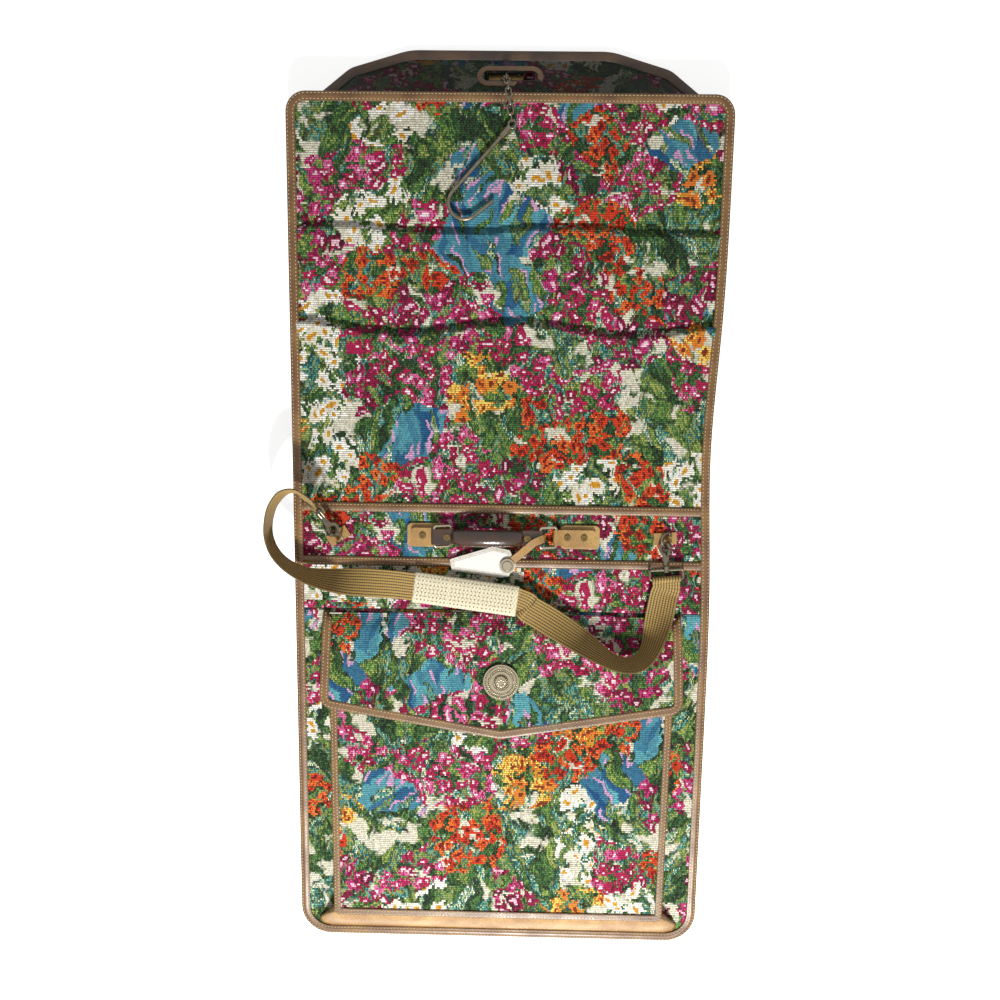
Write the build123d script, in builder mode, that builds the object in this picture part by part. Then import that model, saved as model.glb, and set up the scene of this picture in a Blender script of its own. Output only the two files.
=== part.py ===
from build123d import *
import os
from math import atan2, cos, degrees, hypot, radians, sin, sqrt, tan

os.makedirs("parts", exist_ok=True)

# Folding garment bag, opened out flat with its outer face up.
# X is the width, Y runs up to the end with the hanging hook, Z is up.
# The origin is the centre of the back panel's resting face.

# Bag
bag_width = 559.0
bag_length = 1140.0
bag_depth = 42.0
top_corner_radius = 25.0
bottom_corner_radius = 42.0
cloth = 2.4
leather = 1.6
sewing_gap = 0.2
binding_width = 12.0
side_fold = 36.0
side_fold_fade = 95.0
splay_reach = 62.0
splay_half_base = 254.0
splay_half_tip = 168.0
splay_tip_radius = 30.0

# Lines across the face
upper_strip_y = 48.0
lower_strip_y = -25.0
flap_hinge_y = -91.0

# Hook slit in the top gusset
slit_length = 70.0
slit_width = 15.0
welt_width = 7.0

# Long zip in the back panel
zip_x = 150.0
zip_low_y = -470.0
zip_high_y = 500.0
zip_slot_width = 26.0
zip_tape_width = 17.0
zip_tape_thickness = 0.8
zip_teeth_width = 2.6
zip_teeth_height = 2.4
zip_teeth_gap = 1.8
zip_clearance = 0.4
zip_hem = 14.0
slider_length = 20.0
slider_width = 12.0
slider_plate = 1.2
pull_length = 30.0
pull_width = 8.0
pull_thickness = 1.0

# Pocket and flap
pocket_top_y = -128.0
pocket_bottom_y = -522.0
pocket_top_rise = 4.0
pocket_bottom_rise = 26.0
pocket_half_top = 234.0
pocket_half_bottom = 227.0
pocket_corner_radius = 8.0
pocket_slope_half_base = 238.0
pocket_slope_half_tip = 256.0
pocket_slope_tip_rise = 12.0
flap_half_hinge = 240.0
flap_half_width = 246.0
flap_corner_y = -224.0
flap_point_y = -264.0
flap_corner_radius = 18.0
flap_clearance = 2.0
flap_rise_length = 30.0
medallion_y = -185.0
medallion_radius = 24.0
medallion_height = 5.0
snap_radius = 8.0
snap_ball_radius = 3.2

# Handle
handle_y = 12.0
base_bar_x = 70.0
ring_link = 22.0
ring_wire = 2.0
ring_width = 27.0
ring_corner = 3.0
ring_rest_angle = 18.0
bore_clearance = 0.08
plate_leather = 2.2
plate_length = 52.0
plate_width = 32.0
plate_inner_x = 76.0
plate_corner = 6.0
strap_leather = 2.0
loop_width = 20.6
loop_reach = 50.0
rivet_head_radius = 4.6
rivet_head_height = 1.8
rivet_stem_radius = 1.5
rivet_fit = 0.1
loop_rivet_xs = (85.0, 107.0)
tab_reach = 28.0
tab_rivet_reach = 17.0
grip_width = 23.0
grip_height = 19.0
grip_arch = 8.0
grip_neck_width = 15.0

# Luggage tag
tag_thickness = 3.0
tag_rest_gap = 0.5
tag_button = (6.0, -27.0)
tag_button_radius = 9.5
tag_button_height = 2.6
tag_end_radius = 15.0
tag_strap_width = 10.0
tag_strap_thickness = 1.6
tag_window_thickness = 0.8

# Shoulder strap and its hardware
webbing_width = 38.0
webbing_thickness = 2.2
label_length = 139.0
label_width = 41.0
label_cloth = 1.3
eye_wire = 1.8
eye_inner_width = 40.0
eye_corner = 2.2
eye_depth = 9.0
d_bar_half = 8.5
d_leg = 7.5
d_wire = 1.5
d_tilt = 40.0
d_bar_rise = 5.9
d_hook_line = 7.5
chape_length = 30.0
chape_width = 16.0
chape_roll_length = 8.0
snap_opening = 5.5
snap_section = 4.0
snap_thickness = 4.4
snap_roll = 40.0
snap_length = 41.0
snap_shank = 22.0
swivel_post = 2.0
gate_thickness = 2.6
gate_width = 3.0
gate_clearance = 0.25
gate_tip_gap = 1.1
gate_pin = 1.0

# Hanger
hook_wire = 2.4
hook_heading = 227.7
hook_shank = 89.0
hook_bend_radius = 20.0
hook_bend_turn = 170.0
hook_return = 31.0
hook_head_radius = 3.0
hook_head_length = 2.0
swivel_radius = 4.0
swivel_length = 15.0
swivel_grip = 8.0
swivel_eye_radius = 4.6
swivel_eye_wire = 1.4
chain_wire = 1.1
chain_link_length = 14.2
chain_link_width = 8.8
chain_pitch = 9.6
link_play = 0.15
chain_foot = (-5.5, 595.5)
chain_drift = 8.0
chain_leans = (0, 18, 34, 46, 62, 84, 102, 98, 92)
chain_rolls = (90, 5, 86, -6, 82, -10, 80, -6, 90)
bracket_width = 44.0
bracket_length = 30.0
bracket_plate = 2.0
bracket_ear = 2.4
bracket_hole = 2.8

# Levels that follow from the layers
panel_low = bag_depth - cloth
flange_low = panel_low - cloth
lip_low = flange_low - leather
face_lip_top = bag_depth + leather
back_panel_top = leather + cloth
back_flange_top = back_panel_top + cloth
back_lip_top = back_flange_top + leather
half_width = bag_width / 2
half_length = bag_length / 2
gusset_inset = binding_width + cloth


def keep(piece, name):
    piece.part.label = name
    export_step(piece.part, f"parts/{name}.step")
    return piece.part


def unit(x, y, z):
    size = sqrt(x * x + y * y + z * z)
    return Vector(x / size, y / size, z / size)


# Outlines

def face_outline(height, inset=0.0):
    with BuildSketch(Plane.XY.offset(height)) as outline:
        Rectangle(bag_width, bag_length)
        fillet(outline.vertices().group_by(Axis.Y)[0], radius=bottom_corner_radius)
        fillet(outline.vertices().group_by(Axis.Y)[-1], radius=top_corner_radius)
        if inset:
            offset(amount=-inset, kind=Kind.INTERSECTION)
    return outline.sketch


def back_outline(height, inset=0.0):
    tip_y = half_length + splay_reach
    with BuildSketch(Plane.XY.offset(height)) as outline:
        Rectangle(bag_width, bag_length)
        fillet(outline.vertices().group_by(Axis.Y)[0], radius=bottom_corner_radius)
        fillet(outline.vertices().group_by(Axis.Y)[-1], radius=top_corner_radius)
        Polygon(
            (-splay_half_base, half_length - 1),
            (splay_half_base, half_length - 1),
            (splay_half_tip, tip_y),
            (-splay_half_tip, tip_y),
            align=None,
        )
        fillet(outline.vertices().group_by(Axis.Y)[-1], radius=splay_tip_radius)
        if inset:
            offset(amount=-inset, kind=Kind.INTERSECTION)
    return outline.sketch


# Front panels, sewn edge to edge under the leather strips

def face_panel(y_low, y_high):
    with BuildPart() as panel:
        extrude(face_outline(panel_low, leather + sewing_gap), amount=cloth)
        with BuildSketch(Plane.XY.offset(panel_low)):
            with Locations((0, (y_low + y_high) / 2)):
                Rectangle(bag_width, y_high - y_low)
        extrude(amount=cloth, mode=Mode.INTERSECT)
    return panel


keep(face_panel(upper_strip_y, half_length), "front_upper_panel")
keep(face_panel(lower_strip_y, upper_strip_y), "handle_panel")
keep(face_panel(flap_hinge_y, lower_strip_y), "front_centre_panel")
keep(face_panel(-half_length, flap_hinge_y), "front_lower_panel")

# Leather binding folded over the front seam

with BuildPart() as front_binding:
    extrude(face_outline(lip_low), amount=face_lip_top - lip_low)
    fillet(front_binding.faces().sort_by(Axis.Z)[-1].edges(), radius=leather * 0.8)
    extrude(face_outline(flange_low, leather), amount=bag_depth - flange_low, mode=Mode.SUBTRACT)
    extrude(face_outline(lip_low, binding_width), amount=face_lip_top - lip_low, mode=Mode.SUBTRACT)
keep(front_binding, "front_binding")

# Leather strips over the two cross seams

def cross_strip(y_middle):
    with BuildPart() as strip:
        with BuildSketch(Plane.XY.offset(bag_depth)):
            with Locations((0, y_middle)):
                Rectangle(bag_width - 2 * binding_width, binding_width)
        extrude(amount=leather)
        fillet(strip.faces().sort_by(Axis.Z)[-1].edges().filter_by(Axis.X), radius=leather / 2)
    return strip


keep(cross_strip(upper_strip_y), "upper_strip")
keep(cross_strip(lower_strip_y), "lower_strip")

# Back panel, with its rim raised into the seam and a slot for the long zip

with BuildPart() as back_panel:
    extrude(back_outline(0, binding_width + sewing_gap), amount=cloth)
    extrude(back_outline(leather, leather + sewing_gap), amount=cloth)
    extrude(back_outline(cloth, binding_width + cloth), amount=back_panel_top - cloth, mode=Mode.SUBTRACT)
    with BuildSketch():
        with Locations((zip_x, (zip_low_y + zip_high_y) / 2)):
            SlotOverall(zip_high_y - zip_low_y + 2 * zip_hem, zip_slot_width + 2 * zip_hem, rotation=90)
    extrude(amount=back_panel_top)
    with BuildSketch():
        with Locations((zip_x, (zip_low_y + zip_high_y) / 2)):
            SlotOverall(zip_high_y - zip_low_y, zip_slot_width, rotation=90)
    extrude(amount=back_panel_top, mode=Mode.SUBTRACT)
keep(back_panel, "back_panel")

with BuildPart() as back_binding:
    extrude(back_outline(0), amount=back_lip_top)
    fillet(back_binding.faces().sort_by(Axis.Z)[-1].edges(), radius=leather * 0.8)
    extrude(back_outline(leather, leather), amount=back_flange_top - leather, mode=Mode.SUBTRACT)
    extrude(back_outline(0, binding_width), amount=back_lip_top, mode=Mode.SUBTRACT)
keep(back_binding, "back_binding")

# Side gussets fold inwards between the two bindings, and flatten towards the corners

def gusset_section(y, fold, side):
    outer = leather + sewing_gap
    middle = (flange_low + back_flange_top) / 2
    points = [
        (outer, panel_low),
        (gusset_inset, panel_low),
        (fold + cloth * 1.2, middle),
        (gusset_inset, back_panel_top),
        (outer, back_panel_top),
        (outer, back_flange_top),
        (binding_width, back_flange_top),
        (fold, middle),
        (binding_width, flange_low),
        (outer, flange_low),
    ]
    plane = Plane(origin=(0, y, 0), x_dir=(1, 0, 0), z_dir=(0, -1, 0))
    with BuildSketch(plane) as section:
        with BuildLine():
            Polyline([(side * (half_width - inset), height) for inset, height in points], close=True)
        make_face()
    return section.sketch


def side_gusset(side):
    low_y = -half_length + bottom_corner_radius
    high_y = half_length - top_corner_radius
    shallow = binding_width + 0.4
    sections = [
        gusset_section(low_y, shallow, side),
        gusset_section(low_y + side_fold_fade, side_fold, side),
        gusset_section(high_y - side_fold_fade, side_fold, side),
        gusset_section(high_y, shallow, side),
    ]
    with BuildPart() as gusset:
        loft(sections, ruled=True)
    return gusset


keep(side_gusset(-1), "side_gusset_left")
keep(side_gusset(1), "side_gusset_right")


# The seam gusset follows the outline as an upright wall with a flange at each seam

def outline_wall(regions):
    outer = leather + sewing_gap
    wall_height = panel_low - back_panel_top
    with BuildPart() as wall:
        extrude(face_outline(back_panel_top, outer), amount=wall_height)
        extrude(face_outline(back_panel_top, gusset_inset), amount=wall_height, mode=Mode.SUBTRACT)
        with BuildSketch(Plane.XY.offset(back_flange_top)):
            Rectangle(bag_width, bag_length)
            add(face_outline(0, binding_width), mode=Mode.SUBTRACT)
        extrude(amount=flange_low - back_flange_top, mode=Mode.SUBTRACT)
        with BuildSketch():
            for x, y, width, length in regions:
                with Locations((x, y)):
                    Rectangle(width, length)
        extrude(amount=bag_depth, mode=Mode.INTERSECT)
    return wall


bottom_region = (0, -half_length + bottom_corner_radius / 2, bag_width, bottom_corner_radius)
keep(outline_wall([bottom_region]), "bottom_gusset")


# Top gusset: its wall leaves the front seam and spreads out to the longer back panel

slope_inner_y = half_length - binding_width
slope_outer_y = half_length + splay_reach - binding_width
slope_half_inner = splay_half_base - binding_width
slope_half_outer = splay_half_tip - binding_width * 0.9


def slope_section(height, half_base, half_tip, y_base, y_tip):
    with BuildSketch(Plane.XY.offset(height)) as section:
        Polygon((-half_base, y_base), (half_base, y_base), (half_tip, y_tip), (-half_tip, y_tip), align=None)
    return section.sketch


def slope_body(inward, y_base):
    low_half = slope_half_inner - inward * 1.3
    low_tip = slope_half_outer - inward * 0.5
    high_half = slope_half_inner - inward * 1.5
    sections = [
        slope_section(back_panel_top, low_half, low_tip, y_base, slope_outer_y - inward),
        slope_section(back_lip_top, low_half, low_tip, y_base, slope_outer_y - inward),
        slope_section(lip_low, low_half, high_half, y_base, slope_inner_y - inward),
        slope_section(panel_low, low_half, high_half, y_base, slope_inner_y - inward),
    ]
    with BuildPart() as body:
        loft(sections, ruled=True)
    return body.part


corner_reach = half_width - slope_half_inner + 2 * cloth
corner_x = half_width - corner_reach / 2
corner_y = half_length - top_corner_radius / 2
corner_regions = [(side * corner_x, corner_y, corner_reach, top_corner_radius) for side in (-1, 1)]

with BuildPart() as top_gusset:
    add(slope_body(0, slope_inner_y - cloth))
    add(slope_body(cloth, slope_inner_y - 3 * cloth), mode=Mode.SUBTRACT)
    add(outline_wall(corner_regions).part)
    with BuildSketch(Plane.XY.offset(flange_low)):
        with Locations((0, slope_inner_y - cloth / 2)):
            Rectangle(2 * slope_half_inner, cloth)
            with Locations((0, (cloth + binding_width - leather - sewing_gap) / 2)):
                Rectangle(2 * slope_half_inner, binding_width - leather - sewing_gap)
    extrude(amount=cloth)
    with BuildSketch(Plane.XY.offset(back_panel_top)):
        add(back_outline(0, leather + sewing_gap))
        add(back_outline(0, gusset_inset), mode=Mode.SUBTRACT)
        with Locations((0, half_length + splay_reach / 2)):
            Rectangle(2 * slope_half_inner, splay_reach, mode=Mode.INTERSECT)
    extrude(amount=cloth)
    slit_y = (slope_inner_y + slope_outer_y) / 2 + 7
    with BuildSketch(Plane.XY.offset(back_flange_top)):
        with Locations((0, slit_y)):
            SlotOverall(slit_length, slit_width)
    extrude(amount=bag_depth, mode=Mode.SUBTRACT)
keep(top_gusset, "top_gusset")

# Leather welt round the hook slit, on the sloping wall

slope_rise = lip_low - back_lip_top
slope_run = slope_outer_y - slope_inner_y
slope_angle = atan2(slope_rise, slope_run)
slit_height = lip_low - (slit_y - slope_inner_y) * tan(slope_angle)
slope_plane = Plane(
    origin=(0, slit_y, slit_height),
    x_dir=(1, 0, 0),
    z_dir=(0, sin(slope_angle), cos(slope_angle)),
)
slit_on_slope = slit_width / cos(slope_angle)
with BuildPart() as slit_welt:
    with BuildSketch(slope_plane):
        SlotOverall(slit_length + 2 * welt_width, slit_on_slope + 2 * welt_width)
        SlotOverall(slit_length, slit_on_slope, mode=Mode.SUBTRACT)
    extrude(amount=leather)
    fillet(slit_welt.edges().group_by(SortBy.LENGTH)[-1], radius=leather / 3)
keep(slit_welt, "slit_welt")

# Long zip: two tapes on the inside of the slot, a row of teeth on each, a slider between them

tape_low = back_panel_top
tape_middle = tape_low + zip_tape_thickness / 2
zip_middle_y = (zip_low_y + zip_high_y) / 2
zip_length = zip_high_y - zip_low_y
teeth_length = zip_length - zip_slot_width
with BuildPart() as zip_tapes:
    with BuildSketch(Plane.XY.offset(tape_low)):
        for side in (-1, 1):
            with Locations((zip_x + side * (zip_teeth_gap + zip_tape_width) / 2, zip_middle_y)):
                Rectangle(zip_tape_width, zip_length + zip_slot_width / 2)
    extrude(amount=zip_tape_thickness)
    with BuildSketch(Plane.XY.offset(tape_middle - zip_teeth_height / 2)):
        for side in (-1, 1):
            with Locations((zip_x + side * (zip_teeth_gap + zip_teeth_width) / 2, zip_middle_y)):
                Rectangle(zip_teeth_width, teeth_length)
    extrude(amount=zip_teeth_height)
keep(zip_tapes, "zip_tapes")

slider_y = zip_high_y - zip_slot_width / 2 - slider_length / 2 - zip_clearance
with BuildPart() as zip_slider:
    for side in (-1, 1):
        plate_z = tape_middle + side * (zip_teeth_height / 2 + zip_clearance + slider_plate / 2)
        with BuildSketch(Plane.XY.offset(plate_z - slider_plate / 2)):
            with Locations((zip_x, slider_y)):
                RectangleRounded(slider_width, slider_length, 3)
        extrude(amount=slider_plate)
    with BuildSketch(Plane.XY.offset(tape_middle - zip_teeth_height / 2 - zip_clearance - slider_plate)):
        with Locations((zip_x, slider_y + slider_length / 4)):
            SlotOverall(slider_length / 3, zip_teeth_gap - 2 * zip_clearance, rotation=90)
    extrude(amount=zip_teeth_height + 2 * (zip_clearance + slider_plate))
keep(zip_slider, "zip_slider")

pull_top = tape_middle - zip_teeth_height / 2 - zip_clearance - slider_plate
with BuildPart() as zip_pull:
    with BuildSketch(Plane.XY.offset(pull_top - pull_thickness)):
        with Locations((zip_x, slider_y - pull_length / 2 + slider_length / 2)):
            RectangleRounded(pull_width, pull_length, 3)
            with Locations((0, -pull_length / 2 + pull_width / 2)):
                Circle(pull_width / 5, mode=Mode.SUBTRACT)
    extrude(amount=pull_thickness)
keep(zip_pull, "zip_pull")

with BuildPart() as zip_stops:
    for stop_y in (zip_middle_y - teeth_length / 2 - 2, zip_middle_y + teeth_length / 2 + 2):
        with BuildSketch(Plane.XY.offset(tape_low - zip_tape_thickness)):
            with Locations((zip_x, stop_y)):
                RectangleRounded(2 * zip_teeth_width + zip_teeth_gap, 4, 0.8)
        extrude(amount=zip_tape_thickness)
keep(zip_stops, "zip_stops")

# Pocket front, tilted because the pocket is deeper at its foot

pocket_run = pocket_top_y - pocket_bottom_y
pocket_tilt = atan2(pocket_bottom_rise - pocket_top_rise, pocket_run)
pocket_length = pocket_run / cos(pocket_tilt)
pocket_plane = Plane(
    origin=(0, pocket_bottom_y, bag_depth + pocket_bottom_rise),
    x_dir=(1, 0, 0),
    z_dir=(0, sin(pocket_tilt), cos(pocket_tilt)),
)


def pocket_point_y(y):
    return (y - pocket_bottom_y) / cos(pocket_tilt)


def pocket_outline(level, inset=0.0):
    with BuildSketch(pocket_plane.offset(level)) as outline:
        Polygon(
            (-pocket_half_bottom, 0),
            (pocket_half_bottom, 0),
            (pocket_half_top, pocket_length),
            (-pocket_half_top, pocket_length),
            align=None,
        )
        fillet(outline.vertices(), radius=pocket_corner_radius)
        if inset:
            offset(amount=-inset, kind=Kind.INTERSECTION)
    return outline.sketch


with BuildPart() as pocket_front:
    extrude(pocket_outline(0, leather + sewing_gap), amount=cloth)
keep(pocket_front, "pocket_front")

with BuildPart() as pocket_binding:
    extrude(pocket_outline(-leather), amount=cloth + 2 * leather)
    extrude(pocket_outline(0, leather), amount=cloth, mode=Mode.SUBTRACT)
    extrude(pocket_outline(-leather, binding_width * 0.8), amount=cloth + 2 * leather, mode=Mode.SUBTRACT)
keep(pocket_binding, "pocket_binding")

# Pocket gussets: upright at the sides, a sloping leather panel at the foot

pocket_wall_inset = binding_width * 0.8


def pocket_side(side):
    foot = pocket_half_bottom - pocket_wall_inset
    head = pocket_half_top - pocket_wall_inset
    with BuildPart() as wall:
        with BuildSketch(Plane.XY.offset(bag_depth)):
            Polygon(
                (side * foot, pocket_bottom_y + pocket_wall_inset + cloth),
                (side * (foot - cloth), pocket_bottom_y + pocket_wall_inset + cloth),
                (side * (head - cloth), pocket_top_y - pocket_wall_inset),
                (side * head, pocket_top_y - pocket_wall_inset),
                align=None,
            )
        extrude(amount=pocket_bottom_rise + cloth)
        split(bisect_by=pocket_plane.offset(-leather), keep=Keep.BOTTOM)
    return wall


keep(pocket_side(-1), "pocket_side_left")
keep(pocket_side(1), "pocket_side_right")

pocket_head_y = pocket_bottom_y + pocket_wall_inset
pocket_slope_low_y = -half_length + binding_width + sewing_gap


def pocket_slope(inward):
    half_high = pocket_half_bottom - pocket_wall_inset - inward
    half_low = pocket_slope_half_base - inward
    half_tip = pocket_slope_half_tip - inward * 1.6
    front_y = pocket_slope_low_y + inward * 1.3
    tip_y = pocket_slope_low_y + pocket_slope_tip_rise
    high_y = pocket_head_y + inward
    rear_y = pocket_head_y + cloth + inward
    with BuildSketch(Plane.XY.offset(bag_depth)) as low:
        Polygon(
            (-half_low, front_y),
            (half_low, front_y),
            (half_tip, tip_y),
            (half_high, rear_y),
            (-half_high, rear_y),
            (-half_tip, tip_y),
            align=None,
        )
    with BuildSketch(Plane.XY.offset(bag_depth + pocket_bottom_rise)) as high:
        Polygon(
            (-half_high + cloth, high_y),
            (half_high - cloth, high_y),
            (half_high, high_y + sewing_gap),
            (half_high, rear_y),
            (-half_high, rear_y),
            (-half_high, high_y + sewing_gap),
            align=None,
        )
    with BuildPart() as body:
        loft([low.sketch, high.sketch], ruled=True)
    return body.part


with BuildPart() as pocket_bottom_gusset:
    add(pocket_slope(0))
    add(pocket_slope(leather), mode=Mode.SUBTRACT)
    split(bisect_by=pocket_plane.offset(-leather), keep=Keep.BOTTOM)
keep(pocket_bottom_gusset, "pocket_bottom_gusset")

# Flap: a cloth sheet sewn at the hinge seam that rises over the pocket's top

flap_level = cloth + leather + flap_clearance
flap_low_z = bag_depth + pocket_top_rise + flap_level
flap_rise_end_y = flap_hinge_y - flap_rise_length


def flap_height(y, level):
    return bag_depth + pocket_top_rise + (pocket_top_y - y) * tan(pocket_tilt) + level / cos(pocket_tilt)


def flap_strip(low, high):
    hinge_low = bag_depth + low + leather
    hinge_high = bag_depth + high + leather
    with BuildPart() as strip:
        with BuildSketch(Plane.YZ.offset(-half_width)):
            Polygon(
                (flap_hinge_y, hinge_low),
                (flap_rise_end_y, flap_height(flap_rise_end_y, flap_level + low)),
                (flap_point_y - 20, flap_height(flap_point_y - 20, flap_level + low)),
                (flap_point_y - 20, flap_height(flap_point_y - 20, flap_level + high)),
                (flap_rise_end_y, flap_height(flap_rise_end_y, flap_level + high)),
                (flap_hinge_y, hinge_high),
                align=None,
            )
        extrude(amount=bag_width)
    return strip.part


def flap_outline(inset=0.0):
    with BuildSketch(Plane.XY.offset(bag_depth)) as outline:
        Polygon(
            (-flap_half_hinge, flap_hinge_y),
            (flap_half_hinge, flap_hinge_y),
            (flap_half_width, flap_corner_y),
            (0, flap_point_y),
            (-flap_half_width, flap_corner_y),
            align=None,
        )
        fillet(outline.vertices().group_by(Axis.Y)[1], radius=flap_corner_radius)
        fillet(outline.vertices().group_by(Axis.Y)[0], radius=flap_corner_radius * 4)
        if inset:
            offset(amount=-inset, kind=Kind.INTERSECTION)
    return outline.sketch


with BuildPart() as flap:
    add(flap_strip(0, cloth))
    extrude(flap_outline(leather + sewing_gap), amount=bag_depth, mode=Mode.INTERSECT)
keep(flap, "flap")

with BuildPart() as flap_binding:
    add(flap_strip(-leather, cloth + leather))
    extrude(flap_outline(), amount=bag_depth, mode=Mode.INTERSECT)
    extrude(flap_outline(binding_width), amount=bag_depth, mode=Mode.SUBTRACT)
    with BuildPart(mode=Mode.PRIVATE) as flap_slot:
        add(flap_strip(0, cloth))
        extrude(flap_outline(leather), amount=bag_depth, mode=Mode.INTERSECT)
    add(flap_slot.part, mode=Mode.SUBTRACT)
keep(flap_binding, "flap_binding")

# Round medallion on the flap, with the snap under it

medallion_v = pocket_point_y(medallion_y)
flap_top_plane = pocket_plane.offset(flap_level + cloth)
with BuildPart() as medallion:
    with BuildSketch(flap_top_plane):
        with Locations((0, medallion_v)):
            Circle(medallion_radius)
    extrude(amount=medallion_height * 0.4)
    with BuildSketch(flap_top_plane.offset(medallion_height * 0.4)):
        with Locations((0, medallion_v)):
            Circle(medallion_radius)
            Circle(medallion_radius * 0.92, mode=Mode.SUBTRACT)
            Circle(medallion_radius * 0.6)
            Circle(medallion_radius * 0.48, mode=Mode.SUBTRACT)
    extrude(amount=medallion_height * 0.25)
    with BuildSketch(flap_top_plane.offset(medallion_height * 0.4)):
        with Locations((0, medallion_v)):
            Circle(medallion_radius * 0.4)
    extrude(amount=medallion_height * 0.6, taper=35)
keep(medallion, "medallion")

with BuildPart() as snap_socket:
    with BuildSketch(pocket_plane.offset(flap_level)):
        with Locations((0, medallion_v)):
            Circle(snap_radius)
            Circle(snap_ball_radius + sewing_gap, mode=Mode.SUBTRACT)
    extrude(amount=-flap_clearance)
keep(snap_socket, "snap_socket")

with BuildPart() as snap_stud:
    with BuildSketch(pocket_plane.offset(cloth)):
        with Locations((0, medallion_v)):
            Circle(snap_radius)
    extrude(amount=leather - sewing_gap)
    with BuildSketch(pocket_plane.offset(cloth + leather - sewing_gap)):
        with Locations((0, medallion_v)):
            Circle(snap_ball_radius)
    extrude(amount=flap_clearance)
keep(snap_stud, "snap_stud")

# Handle: two base plates, each with a riveted loop that carries a ring

plate_top = bag_depth + plate_leather
bar_radius = ring_wire
roll_radius = ring_wire + strap_leather
bar_z = plate_top + roll_radius
tab_thickness = 2 * strap_leather
tab_top = plate_top + tab_thickness
ring_dx = ring_link * cos(radians(ring_rest_angle))
ring_dz = ring_link * sin(radians(ring_rest_angle))


def rivet_holes(xs, low, high):
    with BuildPart() as holes:
        with BuildSketch(Plane.XY.offset(low)):
            with Locations([(x, handle_y) for x in xs]):
                Circle(rivet_stem_radius + rivet_fit)
        extrude(amount=high - low)
    return holes.part


def base_plate(side):
    with BuildPart() as plate:
        with BuildSketch(Plane.XY.offset(bag_depth)):
            with Locations((side * (plate_inner_x + plate_length / 2), handle_y)):
                RectangleRounded(plate_length, plate_width, plate_corner)
        extrude(amount=plate_leather)
        fillet(plate.faces().sort_by(Axis.Z)[-1].edges(), radius=plate_leather * 0.4)
        add(rivet_holes([side * x for x in loop_rivet_xs], bag_depth, plate_top), mode=Mode.SUBTRACT)
    return plate


keep(base_plate(-1), "handle_plate_left")
keep(base_plate(1), "handle_plate_right")


def base_loop(side):
    outer_x = plate_inner_x + loop_reach - 4
    with BuildPart() as loop:
        with BuildSketch(Plane.XZ.offset(-handle_y - loop_width / 2)):
            with Locations((side * base_bar_x, bar_z)):
                Circle(roll_radius)
            Polygon(
                (side * base_bar_x, plate_top),
                (side * outer_x, plate_top),
                (side * outer_x, tab_top),
                (side * (base_bar_x + roll_radius * 2.4), tab_top),
                (side * base_bar_x, bar_z + roll_radius),
                align=None,
            )
            with Locations((side * base_bar_x, bar_z)):
                Circle(bar_radius + bore_clearance, mode=Mode.SUBTRACT)
        extrude(amount=loop_width)
        fillet(loop.faces().sort_by(Axis.X)[-1 if side > 0 else 0].edges().filter_by(Axis.Z), radius=5)
        add(rivet_holes([side * x for x in loop_rivet_xs], plate_top, tab_top), mode=Mode.SUBTRACT)
    return loop


keep(base_loop(-1), "handle_loop_left")
keep(base_loop(1), "handle_loop_right")


def rivet(x, low, high):
    with BuildPart() as piece:
        with BuildSketch(Plane.XY.offset(low)):
            with Locations((x, handle_y)):
                Circle(rivet_stem_radius)
        extrude(amount=high - low)
        for radius, height in ((1.0, 0.4), (0.85, 1.0)):
            with BuildSketch(Plane.XY.offset(high)):
                with Locations((x, handle_y)):
                    Circle(rivet_head_radius * radius)
                    Circle(rivet_head_radius * 0.35, mode=Mode.SUBTRACT)
            extrude(amount=rivet_head_height * height)
        with BuildSketch(Plane.XY.offset(high)):
            with Locations((x, handle_y)):
                Circle(rivet_head_radius * 0.5)
        extrude(amount=rivet_head_height * 0.5)
    return piece.part


with BuildPart() as base_rivets:
    for side in (-1, 1):
        for rivet_x in loop_rivet_xs:
            add(rivet(side * rivet_x, bag_depth, tab_top))
keep(base_rivets, "base_rivets")


def handle_ring(base_x):
    tilt = radians(ring_rest_angle)
    ring_plane = Plane(
        origin=(base_x - ring_dx / 2, handle_y, bar_z + ring_dz / 2),
        x_dir=(-cos(tilt), 0, sin(tilt)),
        z_dir=(sin(tilt), 0, cos(tilt)),
    )
    with BuildPart() as ring:
        with BuildSketch(ring_plane, mode=Mode.PRIVATE) as loop_shape:
            RectangleRounded(ring_link, ring_width, ring_corner)
        loop_line = loop_shape.sketch.faces()[0].outer_wire()
        with BuildSketch(Plane(origin=loop_line @ 0, z_dir=loop_line % 0)):
            Circle(ring_wire)
        sweep(path=loop_line)
    return ring


keep(handle_ring(-base_bar_x), "handle_ring_left")
keep(handle_ring(base_bar_x), "handle_ring_right")

# Grip: a rolled leather handle with a flat riveted tab round the bar of each ring

grip_z = bar_z + ring_dz
grip_left_x = -base_bar_x - ring_dx
grip_right_x = base_bar_x - ring_dx
grip_middle_x = (grip_left_x + grip_right_x) / 2
grip_half = (grip_right_x - grip_left_x) / 2


def end_tab(bar_x, inward):
    end_x = bar_x + inward * tab_reach
    with BuildPart() as tab:
        with BuildSketch(Plane.XZ.offset(-handle_y - loop_width / 2)):
            with Locations((bar_x, grip_z)):
                Circle(roll_radius)
            Polygon(
                (bar_x, grip_z - roll_radius),
                (bar_x + inward * roll_radius * 2.4, grip_z - strap_leather),
                (end_x, grip_z - strap_leather),
                (end_x, grip_z + strap_leather),
                (bar_x + inward * roll_radius * 2.4, grip_z + strap_leather),
                (bar_x, grip_z + roll_radius),
                align=None,
            )
        extrude(amount=loop_width)
        fillet(tab.faces().sort_by(Axis.X)[-1 if inward > 0 else 0].edges().filter_by(Axis.Z), radius=loop_width * 0.4)
    return tab.part


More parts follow.
